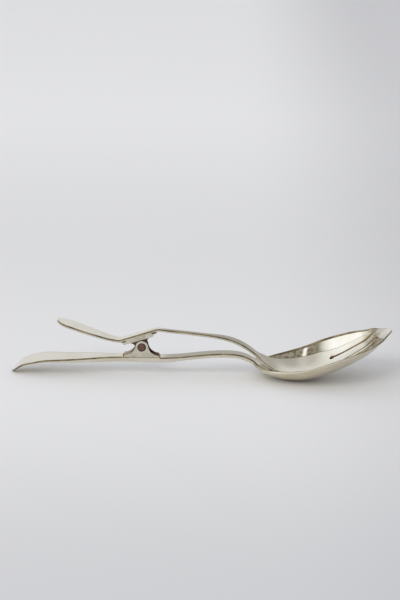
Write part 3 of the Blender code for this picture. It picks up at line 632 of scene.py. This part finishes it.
class Tree:
    """Short calls that add nodes to a material or to the world."""

    def __init__(self, tree, kind):
        self.tree = tree
        self.coordinates = self.add("ShaderNodeTexCoord").outputs
        self.where = self.coordinates[kind]

    def join(self, socket, value):
        """Feeds a socket from another socket, or gives it a plain value."""
        if isinstance(value, bpy.types.NodeSocket):
            self.tree.links.new(value, socket)
        else:
            socket.default_value = value

    def feed(self, node, inputs):
        for name, value in inputs.items():
            self.join(node.inputs[name], value)

    def add(self, kind, inputs=(), **settings):
        made = self.tree.nodes.new(kind)
        for name, value in settings.items():
            setattr(made, name, value)
        self.feed(made, dict(inputs))
        return made

    def axis(self, name, vector=None):
        return self.add("ShaderNodeSeparateXYZ", {0: vector or self.where}).outputs[name]

    def noise(self, scale, detail, rough, stretch=None):
        where = self.where
        if stretch is not None:
            where = self.add("ShaderNodeMapping", {"Vector": where, "Scale": stretch}).outputs[0]
        inputs = {"Vector": where, "Scale": scale, "Detail": detail, "Roughness": rough}
        return self.add("ShaderNodeTexNoise", inputs).outputs["Fac"]

    def span(self, value, low, high, to_low=0.0, to_high=1.0, smooth=False):
        inputs = {"Value": value, "From Min": low, "From Max": high, "To Min": to_low, "To Max": to_high}
        kind = "SMOOTHSTEP" if smooth else "LINEAR"
        return self.add("ShaderNodeMapRange", inputs, interpolation_type=kind, clamp=True).outputs[0]

    def math(self, operation, first, second=0.0):
        return self.add("ShaderNodeMath", {0: first, 1: second}, operation=operation).outputs[0]

    def product(self, first, *others):
        for other in others:
            first = self.math("MULTIPLY", first, other)
        return first

    def blend(self, share, first, second):
        """The first colour where the share is 0, and the second where it is 1."""
        made = self.add("ShaderNodeMix", {MIX_SHARE: share}, data_type="RGBA")
        for number, value in ((MIX_FIRST, first), (MIX_SECOND, second)):
            colour = value if isinstance(value, bpy.types.NodeSocket) else (*value, 1)
            self.join(made.inputs[number], colour)
        return made.outputs[MIX_RESULT]


class Material(Tree):
    """A material of one shader, whose patterns lie still on the object that wears it."""

    def __init__(self, name):
        self.made = bpy.data.materials.new(name)
        self.made.use_nodes = True
        super().__init__(self.made.node_tree, "Object")
        self.along = self.axis("X")

    def shade(self, inputs):
        self.feed(self.tree.nodes["Principled BSDF"], inputs)
        return self.made


class Metal(Material):
    """Metal in patches of two colours, which stains, painted reflections and painted shade can cover, as
    the tables give it by name.
    """

    def __init__(self, name):
        super().__init__(name)
        low, high, turn, patches, grain = PATCHES[name]
        self.surface = SURFACES[name]
        self.patches = self.wear = self.noise(*patches)
        self.grain = self.relief = self.noise(*grain)
        self.colour = self.blend(self.span(self.patches, *turn), low, high)

    def stain_or_painted_light(self, colour, *masks):
        """Covers the metal with a colour, as much as all of its masks together let show."""
        self.colour = self.blend(self.product(*masks), self.colour, colour)

    def finish(self):
        metallic, wear_span, (strength, depth) = self.surface
        bump = self.add("ShaderNodeBump", {"Strength": strength, "Distance": depth, "Height": self.relief})
        inputs = {"Base Color": self.colour, "Metallic": metallic, "Normal": bump.outputs[0]}
        return self.shade({**inputs, "Roughness": self.span(self.wear, *wear_span)})


def silver_finish(name):
    """Worn silver plate: cloudy and specked, with fine lines along the arm and soft dents.

    Painted dark reflections dull the tops of both shanks and blot the tips, where the faces look up.
    """
    plate = Metal(name)
    clouds, lines = plate.patches, plate.grain
    upward = plate.axis("Z", plate.coordinates["Normal"])
    plate.stain_or_painted_light(SPECK, plate.span(plate.noise(*SPECKS), *SPECK_SPAN))
    shank = [plate.span(plate.along, *span) for span in SHANK_SPANS]
    # Painted dark reflection on the upward faces of both shanks
    plate.stain_or_painted_light(SHANK_PAINTED_REFLECTION, *shank, plate.span(upward, *TOP_SPAN))
    tip = [plate.span(plate.along, *span) for span in TIP_SPANS]
    blotches = plate.span(plate.noise(*BLOTCHES), *BLOTCH_SPAN)
    # Painted dark reflection in blotches on the upward faces of the tips
    plate.stain_or_painted_light(TIP_PAINTED_REFLECTION, *tip, blotches, plate.span(upward, *TIP_SPAN))
    plate.wear = plate.math("ADD", plate.product(lines, WEAR_SHARE), plate.product(clouds, WEAR_SHARE))
    plate.relief = plate.math("ADD", plate.product(lines, LINE_RELIEF_SHARE), plate.noise(*DENTS))
    return plate.finish()


def worn_edge_finish():
    """The edges, where the plate has worn through to the brassy metal below, with a painted shadow towards
    the end of the handle, where it meets the table.
    """
    edge = Metal("worn_edge")
    edge.stain_or_painted_light(SPECK, edge.span(edge.grain, *GRAIN_SPAN))
    # Painted shadow on the edges towards the end of the handle, where it meets the table
    edge.stain_or_painted_light(HANDLE_END_PAINTED_SHADOW, edge.span(edge.along, *HANDLE_SPAN))
    return edge.finish()


def slot_finish():
    """The walls of the slots: brown with painted shade, and golden near the tips, where the slots open."""
    wall = Metal("slot_stain_and_shade")
    wall.stain_or_painted_light(SLOT_GOLD, wall.span(wall.along, *GOLD_SPAN))
    return wall.finish()


def bracket_finish():
    """Dull plate on the yokes, with brown spots from the heat of brazing."""
    plate = Metal("dull_bracket_plate")
    plate.stain_or_painted_light(BURN, plate.span(plate.noise(*BURNS), *BURN_SPAN))
    return plate.finish()


def channel_finish():
    """The inside of the lower yoke: rust towards the bowls, and dull plate towards the handle."""
    channel = Metal("stained_channel")
    plate = channel.blend(channel.span(channel.patches, *MIDDLE), CHANNEL_PALE, CHANNEL_DULL)
    channel.stain_or_painted_light(plate, channel.span(channel.along, *CHANNEL_SPAN, smooth=True))
    return channel.finish()


def floor_finish():
    """Pale paper, with painted shade in front and to the right, and painted light far behind, where it is
    palest.
    """
    paper = Material("pale_paper")
    away = paper.axis("Y")
    near = paper.blend(paper.span(away, *FLOOR_FRONT_SPAN, smooth=True), FLOOR_FRONT, FLOOR_NEAR)
    colour = paper.blend(paper.span(away, *FLOOR_FAR_SPAN, smooth=True), near, FLOOR_FAR)
    colour = paper.blend(paper.span(paper.along, *FLOOR_DIM_SPAN, smooth=True), colour, FLOOR_DIM)
    colour = paper.blend(paper.span(paper.noise(*FIBRES), *FIBRE_SPAN), colour, FIBRE)
    inputs = {"Specular IOR Level": PAPER_SHINE, "Roughness": PAPER_ROUGHNESS}
    return paper.shade({"Base Color": colour, **inputs})


# Meshes


def keep_inside(shape, box):
    """Moves the few points of a finer skin that pass the solid's box back onto it."""
    low, high = box
    for vertex in shape.verts:
        for axis in range(3):
            vertex.co[axis] = min(max(vertex.co[axis], low[axis]), high[axis])


def new_object(name, data):
    made = bpy.data.objects.new(name, data)
    bpy.context.scene.collection.objects.link(made)
    return made


def add_mesh(shape, name, finishes, smooth=True):
    """A mesh object from a bmesh, with its faces pointing out."""
    bmesh.ops.recalc_face_normals(shape, faces=shape.faces)
    mesh = bpy.data.meshes.new(name)
    shape.to_mesh(mesh)
    shape.free()
    for finish in finishes:
        mesh.materials.append(finish)
    if smooth:
        mesh.shade_smooth()
        mesh.set_sharp_from_angle(angle=SHARP_ANGLE)
    return new_object(name, mesh)


def evenly_along(half_width, start, end, count):
    """Places from start to end that lie evenly along the edge of the outline."""
    fine = np.linspace(start, end, FINE_PER_STATION * count)
    edge = np.array([half_width(x) for x in fine])
    travel = np.concatenate([[0], np.cumsum(np.hypot(np.diff(fine), np.diff(edge)))])
    return list(np.interp(np.linspace(0, travel[-1], count + 1), travel, fine))


def section(half_width, thickness):
    """One ring across a strip as (across, depth), round at its corners."""
    corner = min(EDGE_ROUND, ROUND_SHARE * thickness, ROUND_SHARE * half_width)
    flat = half_width - corner
    upper = [(flat * share, 0) for share in np.linspace(-1, 1, ACROSS + 1)]
    side = []
    for angle in np.linspace(0, QUARTER_TURN, CORNER_STEPS + 1)[1:]:
        side.append((flat + corner * math.sin(angle), corner * (1 - math.cos(angle))))
    side += [(across, thickness - depth) for across, depth in reversed(side)]
    lower = [(across, thickness) for across, _ in reversed(upper)]
    other_side = [(-across, depth) for across, depth in reversed(side)]
    return upper + side + lower + other_side


def place(x, across, depth, surface):
    """A point at a depth square to the surface, which is negative above it."""
    along = slope_of(lambda at: surface(at, across), x)
    sideways = slope_of(lambda at: surface(x, at), across)
    normal = np.array([-along, -sideways, 1])
    normal /= np.linalg.norm(normal)
    return np.array([x, across, surface(x, across)]) - depth * normal


def wall(shape, first, second):
    """The faces between one ring of points and the next."""
    around = zip(first, first[1:] + first[:1], second[1:] + second[:1], second)
    return [shape.faces.new(corners) for corners in around]


def cap(shape, ring):
    """Closes the end of a strip with cross bars."""
    below = len(ring) // 2
    for i in range(ACROSS):
        j = below + ACROSS - i
        shape.faces.new((ring[i], ring[i + 1], ring[j - 1], ring[j]))
    shape.faces.new(ring[ACROSS : below + 1])
    shape.faces.new(ring[below + ACROSS :] + ring[:1])


def edge_finishes(count, metal_above):
    """The number of each face's finish, round a section of that many faces."""
    finish_of = [UPPER_FACE] * count
    last = ACROSS + 2 * CORNER_STEPS
    for i in range(ACROSS, last + 1):
        finish_of[i] = EDGE
    if not metal_above:
        finish_of[ACROSS - 1] = UPPER_CORNER
        finish_of[last + 1 : last + 1 + ACROSS] = [UNDERSIDE] * ACROSS
    # The upper corner's faces carry a painted dark reflection
    for step in range(PAINTED_CORNER_STEPS):
        finish_of[last - step if metal_above else ACROSS + step] = UPPER_CORNER
    for i in range(ACROSS - 1, last + 1):
        finish_of[(ACROSS - i - 1) % count] = finish_of[i]
    return finish_of


def lofted_strip(name, stations, form, gap, metal_above, bare, shift, box, finishes):
    """A strip of metal lofted through its stations, on one side of a surface.

    form holds its half width and thickness along X, and the surface that it follows. The
    finishes come in the order of their numbers. Between the two places in bare, the upper
    corners lose their painted dark reflection and are finished like the edges.
    """
    half_width, thickness, surface = form
    shape = bmesh.new()
    rings = []
    for x in stations:
        ring = []
        for across, depth in section(half_width(x), thickness(x)):
            level = -(gap + depth) if metal_above else gap + depth
            ring.append(shape.verts.new(Vector(place(x, across, level, surface)) + shift))
        rings.append(ring)
    finish_of = edge_finishes(len(rings[0]), metal_above)
    bare_start, bare_end = bare
    for x, first, second in zip(stations, rings, rings[1:]):
        for face, finish in zip(wall(shape, first, second), finish_of):
            bare_corner = finish == UPPER_CORNER and bare_start < x < bare_end
            face.material_index = EDGE if bare_corner else finish
    cap(shape, rings[0])
    cap(shape, rings[-1])
    keep_inside(shape, box)
    return add_mesh(shape, name, finishes)


def stations_along(half_width, start, seat_start, seat_end, tip, grip_count):
    """Places of an arm's rings: along its grip, its seat at the hinge, its shank and its bowl."""
    grip = evenly_along(half_width, start, seat_start, grip_count)
    seat = list(np.linspace(seat_start, seat_end, SEAT_STATIONS))[1:-1]
    shank = list(np.linspace(seat_end, SHOULDER, SHANK_STATIONS))
    bowl = evenly_along(half_width, SHOULDER, tip, BOWL_STATIONS)
    return grip + seat + shank + bowl[1:]


def make_spoon_arm(shift, finishes):
    places = (0, SEAT_START, SEAT_END, SPOON_TIP)
    stations = stations_along(spoon_half_width, *places, HANDLE_STATIONS)
    form = (spoon_half_width, spoon_thickness, spoon_surface)
    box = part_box("spoon_arm")
    bare = (SEAT_START, SEAT_END)
    return lofted_strip("spoon_skin", stations, form, 0, False, bare, shift, box, finishes)


def slot_outline(number):
    """A keyhole slot seen from above: a round root, a slit, and a mouth that tapers the tines.

    The slots lie side by side, numbered from the middle one, and draw together at the tips.
    """
    root = FORK_TIP - SLOT_DEPTH + SLOT_ROOT_DIAMETER / 2
    middle = number * SLOT_PITCH
    drawn_in = number * (SLOT_TIP_PITCH - SLOT_PITCH)
    radius = SLOT_ROOT_DIAMETER / 2
    slit = SLOT_WIDTH / 2
    mouth = (SLOT_TIP_PITCH - TINE_TIP_WIDTH) / 2
    meeting = math.asin(slit / radius)
    points = []
    for angle in np.linspace(meeting, 2 * math.pi - meeting, 2 * ARC_STEPS):
        points.append((root + radius * math.cos(angle), middle + radius * math.sin(angle)))
    flare = []
    for share in np.linspace(0, 1, FLARE_STEPS):
        x = FORK_TIP - TINE_TAPER_LENGTH * (1 - share)
        flare.append((x, slit + (mouth - slit) * share**TINE_TAPER_POWER))
    flare.append((FORK_TIP + OVERRUN, mouth))
    points += [(x, middle - half) for x, half in flare]
    points += [(x, middle + half) for x, half in reversed(flare)]
    return [(x, y + drawn_in * max((x - root) / (FORK_TIP - root), 0)) for x, y in points]


def line_through(name, dimensions, places):
    """A curve of straight lines through the places, and its only spline."""
    curve = bpy.data.curves.new(name, "CURVE")
    curve.dimensions = dimensions
    line = curve.splines.new("POLY")
    line.points.add(len(places) - 1)
    for point, place_of in zip(line.points, places):
        point.co = (*place_of, 1)
    return curve, line


def flat_solid(name, outline, thickness, finish):
    """A flat outline made solid: a filled 2D curve, as a mesh with its caps welded on."""
    curve, line = line_through(name, "2D", [(x, y, 0) for x, y in outline])
    curve.fill_mode = "BOTH"
    curve.extrude = thickness / 2
    line.use_cyclic_u = True
    guide = new_object(name + "_guide", curve)
    graph = bpy.context.evaluated_depsgraph_get()
    shape = bmesh.new()
    shape.from_mesh(guide.evaluated_get(graph).to_mesh())
    bpy.data.objects.remove(guide, do_unlink=True)
    bpy.data.curves.remove(curve)
    bmesh.ops.remove_doubles(shape, verts=shape.verts, dist=WELD)
    return add_mesh(shape, name, [finish], smooth=False)


def turned(name, profile, sides, finish):
    """A profile of (radius, height) turned about Z."""
    shape = bmesh.new()
    points = [shape.verts.new((radius, 0, height)) for radius, height in profile]
    edges = [shape.edges.new(pair) for pair in zip(points, points[1:])]
    turn = {"axis": (0, 0, 1), "angle": 2 * math.pi, "steps": sides}
    bmesh.ops.spin(shape, geom=points + edges, use_merge=True, **turn)
    bmesh.ops.remove_doubles(shape, verts=shape.verts, dist=WELD)
    return add_mesh(shape, name, [finish])


def cut(body, cutters, operation="DIFFERENCE"):
    """Applies each Boolean, and removes the cutter."""
    for cutter in cutters:
        change = body.modifiers.new("cut", "BOOLEAN")
        change.operation = operation
        change.solver = "EXACT"
        change.material_mode = "TRANSFER"
        change.object = cutter
    bpy.context.view_layer.update()
    graph = bpy.context.evaluated_depsgraph_get()
    made = bpy.data.meshes.new_from_object(body.evaluated_get(graph))
    body.modifiers.clear()
    body.data = made
    for cutter in cutters:
        bpy.data.objects.remove(cutter, do_unlink=True)


def ease_edges(body, width):
    """Rounds the sharp edges of a cut plate."""
    bevel = body.modifiers.new("ease", "BEVEL")
    bevel.width = width
    bevel.segments = BEVEL_STEPS
    bevel.limit_method = "ANGLE"
    bevel.angle_limit = SHARP_ANGLE
    bevel.miter_outer = "MITER_ARC"
    bevel.harden_normals = True
    body.data.shade_smooth()


def make_fork_arm(shift, finishes, slot_wall):
    places = (LEVER_END, FORK_SEAT_START, FORK_SEAT_END, FORK_TIP)
    stations = stations_along(fork_half_width, *places, LEVER_STATIONS)
    form = (fork_half_width, fork_thickness, fork_surface)
    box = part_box("fork_arm")
    arm = lofted_strip("fork_skin", stations, form, NEST_GAP, True, (0, 0), shift, box, finishes)
    cutters = []
    for number in (-1, 0, 1):
        cutter = flat_solid(f"slot_{number}", slot_outline(number), 2 * SPOON_TIP_HEIGHT, slot_wall)
        cutter.location = shift + Vector((0, 0, SPOON_TIP_HEIGHT))
        cutters.append(cutter)
    cut(arm, cutters)
    arm.data.shade_smooth()
    arm.data.set_sharp_from_angle(angle=SHARP_ANGLE)
    return arm


def bell_outline(radius, half_foot, foot, toe):
    """Bell about the pivot: a round head, and hollow flanks that run out level at the toes.

    foot is how far the bell's base lies below the pivot, and toe the height of its ends.
    """
    level = foot - toe
    flank = (half_foot**2 + level**2 - radius**2) / (2 * (level + radius))
    rise = flank - level
    lean = math.atan2(rise, half_foot)
    right = [(half_foot, -foot)]
    for angle in np.linspace(3 * QUARTER_TURN, 2 * QUARTER_TURN + lean, ARC_STEPS):
        right.append((half_foot + flank * math.cos(angle), rise + flank * math.sin(angle)))
    head = []
    for angle in np.linspace(lean, math.pi - lean, 2 * ARC_STEPS)[1:-1]:
        head.append((radius * math.cos(angle), radius * math.sin(angle)))
    return right + head + [(-x, z) for x, z in reversed(right)]


def box_outline(reach, bottom, top):
    return [(-reach, bottom), (reach, bottom), (reach, top), (-reach, top)]


def open_yoke(yoke, channel, gap, inside):
    """Cuts the channel between a yoke's ears and the bore through them, and rounds what stays."""
    half = HINGE_HALF_WIDTH + OVERRUN
    radius = PIN_DIAMETER / 2 + PIN_GAP
    profile = [(0, half), (radius, half), (radius, -half), (0, -half)]
    bore = turned("bore", profile, PIN_SIDES, inside)
    cut(yoke, [flat_solid("between", channel, gap, inside), bore])
    ease_edges(yoke, EAR_BEVEL)


def make_lower_yoke(at_pivot, finish, inside):
    """A folded saddle, brazed on the spoon arm: two bell shaped ears on one base."""
    bell = bell_outline(LOWER_EAR_RADIUS, LOWER_EAR_HALF_FOOT, LOWER_FOOT, LOWER_BASE_THICKNESS)
    yoke = flat_solid("lower_bracket", bell, HINGE_WIDTH, finish)
    reach = LOWER_EAR_HALF_FOOT + OVERRUN
    channel = box_outline(reach, -LOWER_BASE_TOP, LOWER_EAR_RADIUS + OVERRUN)
    open_yoke(yoke, channel, 2 * LOWER_EAR_INNER, inside)
    yoke.matrix_world = at_pivot @ UPRIGHT
    return yoke


def make_upper_yoke(at_pivot, finish, inside):
    """The plate brazed under the fork arm, with two ears that hang inside the lower ones."""
    half = UPPER_PLATE_LENGTH / 2
    under = half - UPPER_PLATE_SLANT
    plate = [(-half, UPPER_PLATE_DROP), (under, UPPER_PLATE_DROP)]
    plate += [(half, UPPER_PLATE_TOP), (-half, UPPER_PLATE_TOP)]
    yoke = flat_solid("upper_bracket", plate, UPPER_PLATE_WIDTH, finish)
    sunk = UPPER_PLATE_THICKNESS / 2
    bell = bell_outline(UPPER_EAR_RADIUS, UPPER_EAR_HALF_FOOT, UPPER_PLATE_DROP + sunk, sunk)
    hanging = [(-x, -z) for x, z in bell]
    # The hanging ears take the inside finish: rust with painted shade
    cut(yoke, [flat_solid("ears", hanging, 2 * UPPER_EAR_OUTER, inside)], "UNION")
    reach = UPPER_EAR_HALF_FOOT + OVERRUN
    channel = box_outline(reach, -UPPER_EAR_RADIUS - OVERRUN, UPPER_PLATE_DROP)
    open_yoke(yoke, channel, 2 * UPPER_EAR_INNER, inside)
    yoke.matrix_world = at_pivot @ SEAT_TILT @ UPRIGHT
    return yoke


def make_hinge_pin(at_pivot, finish):
    """The pin, with rounded shoulders and slightly domed ends."""
    half = HINGE_HALF_WIDTH + PIN_PROUD
    radius = PIN_DIAMETER / 2
    inner = radius - PIN_ROUND
    upper = [(0, half), (inner / 2, half - PIN_DOME / 4), (inner, half - PIN_DOME)]
    for angle in np.linspace(0, QUARTER_TURN, BEVEL_STEPS + 1)[1:]:
        shoulder = half - PIN_DOME - PIN_ROUND * (1 - math.cos(angle))
        upper.append((inner + PIN_ROUND * math.sin(angle), shoulder))
    lower = [(across, -height) for across, height in reversed(upper)]
    pin = turned("hinge_rivet", upper + lower, PIN_SIDES, finish)
    pin.matrix_world = at_pivot @ UPRIGHT
    return pin


def make_solder(at_pivot, finish):
    """Solder run along the seam between the upper plate and the fork arm, over their edges."""
    seam = UPPER_PLATE_TOP + BRAZE_GAP / 2
    half = UPPER_PLATE_LENGTH / 2 - UPPER_PLATE_SLANT
    outline = box_outline(half, seam - SOLDER_BELOW, seam + SOLDER_ABOVE)
    film = flat_solid("plate_solder", outline, SOLDER_WIDTH, finish)
    ease_edges(film, EAR_BEVEL)
    film.matrix_world = at_pivot @ SEAT_TILT @ UPRIGHT
    return film


def leg_angle(reach):
    """The angle at which a straight leg leaves the coil, so that its end lies level with a wall.

    reach is the distance from the pin's axis to the leg's end, square to the wall.
    """
    to_end = math.hypot(SPRING_RADIUS, SPRING_LEG_LENGTH)
    return math.atan2(SPRING_LEG_LENGTH, SPRING_RADIUS) - math.acos(reach / to_end)


def spring_path():
    """The coil's centre line about the pin, with one leg on the base and one under the plate."""
    clear = SPRING_WIRE / 2 + SPRING_GAP
    start = leg_angle(LOWER_BASE_TOP - clear) - QUARTER_TURN
    end = QUARTER_TURN - leg_angle(UPPER_PLATE_DROP - clear) + FORK_SEAT_ANGLE
    sweep = end - start + 2 * math.pi * SPRING_TURNS
    half = UPPER_EAR_INNER - clear
    count = round(CURL_POINTS * sweep / (2 * math.pi))
    path = []
    for share in np.linspace(0, 1, count + 1):
        angle = start + share * sweep
        across = half * (2 * share - 1)
        path.append((SPRING_RADIUS * math.cos(angle), across, SPRING_RADIUS * math.sin(angle)))
    first = np.array(path[0]) - SPRING_LEG_LENGTH * np.array([-math.sin(start), 0, math.cos(start)])
    last = np.array(path[-1]) + SPRING_LEG_LENGTH * np.array([-math.sin(end), 0, math.cos(end)])
    return [tuple(first)] + path + [tuple(last)]


def wire(name, path, radius, at_pivot, finish):
    """A round wire along a path about the pivot."""
    curve, _ = line_through(name, "3D", path)
    curve.bevel_depth = radius
    curve.bevel_resolution = WIRE_BEVEL_STEPS
    curve.use_fill_caps = True
    curve.materials.append(finish)
    made = new_object(name, curve)
    made.matrix_world = at_pivot
    return made


def make_closing_spring(at_pivot, finish):
    """The coil with its lower leg, and the upper leg, which moves with the fork.

    The upper leg starts inside the coil's last part, so that the wire stays whole as it turns.
    """
    path = spring_path()
    radius = SPRING_WIRE / 2 - SKIN
    coil = wire("spring_wire", path[:-1], radius, at_pivot, finish)
    leg = wire("spring_leg", path[-SPRING_OVERLAP_POINTS:], radius - SKIN, at_pivot, finish)
    return coil, leg


def bead(name, matrix, half_length, phase, finish):
    """A lumpy fillet of braze laid along Y, thicker and thinner along its length."""
    shape = bmesh.new()
    rings = []
    for share in np.linspace(-1, 1, BEAD_STEPS + 1):
        ends = math.sqrt(max(1 - share**BEAD_END_POWER, BEAD_END_LEAST))
        wave = math.sin(BRAZE_WAVES * math.pi * share + phase)
        wave += math.sin(BRAZE_RIPPLES_PER_WAVE * BRAZE_WAVES * math.pi * share + 2 * phase) / 2
        size = BRAZE_RADIUS * ends * (1 + BRAZE_WAVE_SHARE * wave)
        ring = []
        for angle in np.linspace(0, 2 * math.pi, BEAD_SIDES, endpoint=False):
            across = size * math.cos(angle)
            height = BRAZE_FLATNESS_SHARE * size * math.sin(angle)
            ring.append(shape.verts.new((across, half_length * share, height)))
        rings.append(ring)
    for first, second in zip(rings, rings[1:]):
        wall(shape, first, second)
    shape.faces.new(rings[0])
    shape.faces.new(rings[-1])
    made = add_mesh(shape, name, [finish])
    made.matrix_world = matrix
    return made


def make_braze(at_pivot, finish):
    """Fillets at the toes of the lower yoke, and at both ends of the upper plate."""
    half = HINGE_HALF_WIDTH - EDGE_ROUND
    narrow = min(half, FORK_SHANK_WIDTH / 2 + EDGE_ROUND)
    toe, end = LOWER_EAR_HALF_FOOT, UPPER_PLATE_LENGTH / 2
    level = Matrix()
    beads = []
    for name, tilt, x, z, reach, phase in (
        ("braze_toe_back", level, -toe, -LOWER_FOOT, half, 0.4),
        ("braze_toe_front", level, toe, -LOWER_FOOT, half, 1.7),
        ("braze_plate_back", SEAT_TILT, -end, UPPER_PLATE_TOP, UPPER_PLATE_WIDTH / 2, 2.2),
        ("braze_plate_front", SEAT_TILT, end, UPPER_PLATE_TOP, narrow, 0.9),
    ):
        at = tilt @ Matrix.Translation((x, 0, z))
        beads.append(bead(name, at_pivot @ at, reach, phase, finish))
    return beads[:2], beads[2:]


# Stage


def make_floor():
    shape = bmesh.new()
    bmesh.ops.create_grid(shape, x_segments=FLOOR_STEPS, y_segments=FLOOR_STEPS, size=FLOOR_REACH)
    floor = add_mesh(shape, "floor", [floor_finish()])


def make_world():
    """A pale studio, dark overhead and to the right, with a window at the left, for metal to reflect.

    Rough surfaces are lit by an even dome instead, and the camera sees plain paper behind the floor.
    """
    world = bpy.data.worlds.new("studio")
    bpy.context.scene.world = world
    world.use_nodes = True
    tree = Tree(world.node_tree, "Generated")
    across = tree.axis("X")
    height = tree.axis("Z")
    right = tree.span(across, *DARK_RIGHT_SPAN, smooth=True)
    overhead = tree.span(height, *DARK_OVERHEAD_SPAN, smooth=True)
    left = tree.product(tree.span(across, *DARK_LEFT_SPAN, smooth=True), tree.span(height, *DARK_LEFT_RISE))
    dark = tree.math("MAXIMUM", tree.math("MAXIMUM", right, overhead), left)
    mottled = tree.span(tree.noise(*STUDIO_CLOUDS), *STUDIO_CLOUDS_SPAN)
    studio = tree.blend(tree.product(dark, mottled), SURROUND_PALE, SURROUND_DARK)
    edges = [tree.span(tree.axis(name), *span, smooth=True) for name, *span in WINDOW_SPANS]
    studio = tree.blend(tree.product(*edges), studio, WINDOW_SEEN)
    from_slit = tree.math("ABSOLUTE", tree.math("SUBTRACT", across, SLIT_PLACE))
    slit = tree.product(tree.span(from_slit, *SLIT_SPAN, smooth=True), overhead)
    studio = tree.blend(slit, studio, WINDOW_SEEN)
    path = tree.add("ShaderNodeLightPath").outputs
    studio = tree.blend(path["Is Diffuse Ray"], studio, DOME_LIGHT)
    seen = tree.blend(path["Is Camera Ray"], studio, BACKGROUND)
    tree.feed(world.node_tree.nodes["Background"], {"Color": seen, "Strength": 1.0})


def make_softbox():
    """The lamp in front of the object, in whose place metal reflects the studio."""
    lamp = bpy.data.lights.new("softbox", "AREA")
    lamp.shape = "RECTANGLE"
    lamp.size, lamp.size_y = SOFTBOX_SIZE
    lamp.energy = SOFTBOX_POWER
    lamp.color = SOFTBOX_COLOUR
    made = new_object("softbox", lamp)
    made.location = SOFTBOX_PLACE
    aim = Vector(SOFTBOX_AIM) - Vector(SOFTBOX_PLACE)
    made.rotation_euler = aim.to_track_quat("-Z", "Y").to_euler()
    made.visible_glossy = False


def make_camera():
    away = Vector((0, math.cos(ELEVATION), -math.sin(ELEVATION)))
    right = Vector((1, 0, 0))
    up = Vector((0, math.sin(ELEVATION), math.cos(ELEVATION)))
    rolled_right = math.cos(ROLL) * right + math.sin(ROLL) * up
    rolled_up = math.cos(ROLL) * up - math.sin(ROLL) * right
    location = Vector(TARGET) - DISTANCE * away
    view = Matrix((rolled_right, rolled_up, -away)).transposed().to_4x4()
    lens = bpy.data.cameras.new("camera")
    lens.sensor_fit = "VERTICAL"
    lens.sensor_height = SENSOR_HEIGHT
    lens.lens = FOCAL_PIXELS * SENSOR_HEIGHT / FRAME_HEIGHT_PIXELS
    camera = new_object("camera", lens)
    camera.matrix_world = Matrix.Translation(location) @ view
    bpy.context.scene.camera = camera


def main():
    for item in list(bpy.data.objects):
        bpy.data.objects.remove(item, do_unlink=True)
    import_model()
    bpy.context.scene.view_settings.view_transform = "Standard"
    make_camera()

    low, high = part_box("hinge_pin")
    pivot = (low + high) / 2
    shift = Vector((pivot.x - PIVOT, 0, pivot.z - PIVOT_HEIGHT))
    at_pivot = Matrix.Translation((pivot.x, 0, pivot.z))

    polished = silver_finish("polished_silver_plate")
    satin = silver_finish("satin_silver_plate")
    below = silver_finish("warm_silver_plate")
    edge = worn_edge_finish()
    # Painted dark reflection along the upper corners of both arms
    painted_corner = Metal("corner_painted_reflection").finish()
    bracket = bracket_finish()
    # The inside finish is rust with painted shade, between the upper yoke's ears and in its bore
    oxides_and_shade = ("braze_rust", "rust_and_shade_inside", "browned_steel", "oiled_wire")
    rust, inside, brown, oiled = [Metal(name).finish() for name in oxides_and_shade]

    spoon = make_spoon_arm(shift, [polished, edge, painted_corner, below])
    fork = make_fork_arm(shift, [satin, edge, painted_corner], slot_finish())
    lower = make_lower_yoke(at_pivot, bracket, channel_finish())
    upper = make_upper_yoke(at_pivot, bracket, inside)
    pin = make_hinge_pin(at_pivot, brown)
    spring, spring_leg = make_closing_spring(at_pivot, oiled)
    spoon_beads, fork_beads = make_braze(at_pivot, rust)
    fork_beads.append(make_solder(at_pivot, bracket))

    stands_for = (
        (spoon, "spoon", "spoon_arm", "silver_plate"),
        (fork, "fork", "fork_arm", "silver_plate"),
        (lower, "spoon", "lower_yoke", "bracket_plate"),
        (upper, "fork", "upper_yoke", "bracket_plate"),
        (pin, "spoon", "hinge_pin", "browned_steel"),
        (spring, "spoon", "closing_spring", "spring_steel"),
    )
    for piece, body, node, slot in stands_for:
        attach(piece, body)
        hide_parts(node)
    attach(spring_leg, "fork")
    for piece in spoon_beads:
        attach(piece, "spoon")
    for piece in fork_beads:
        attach(piece, "fork")

    make_floor()
    make_world()
    make_softbox()


main()
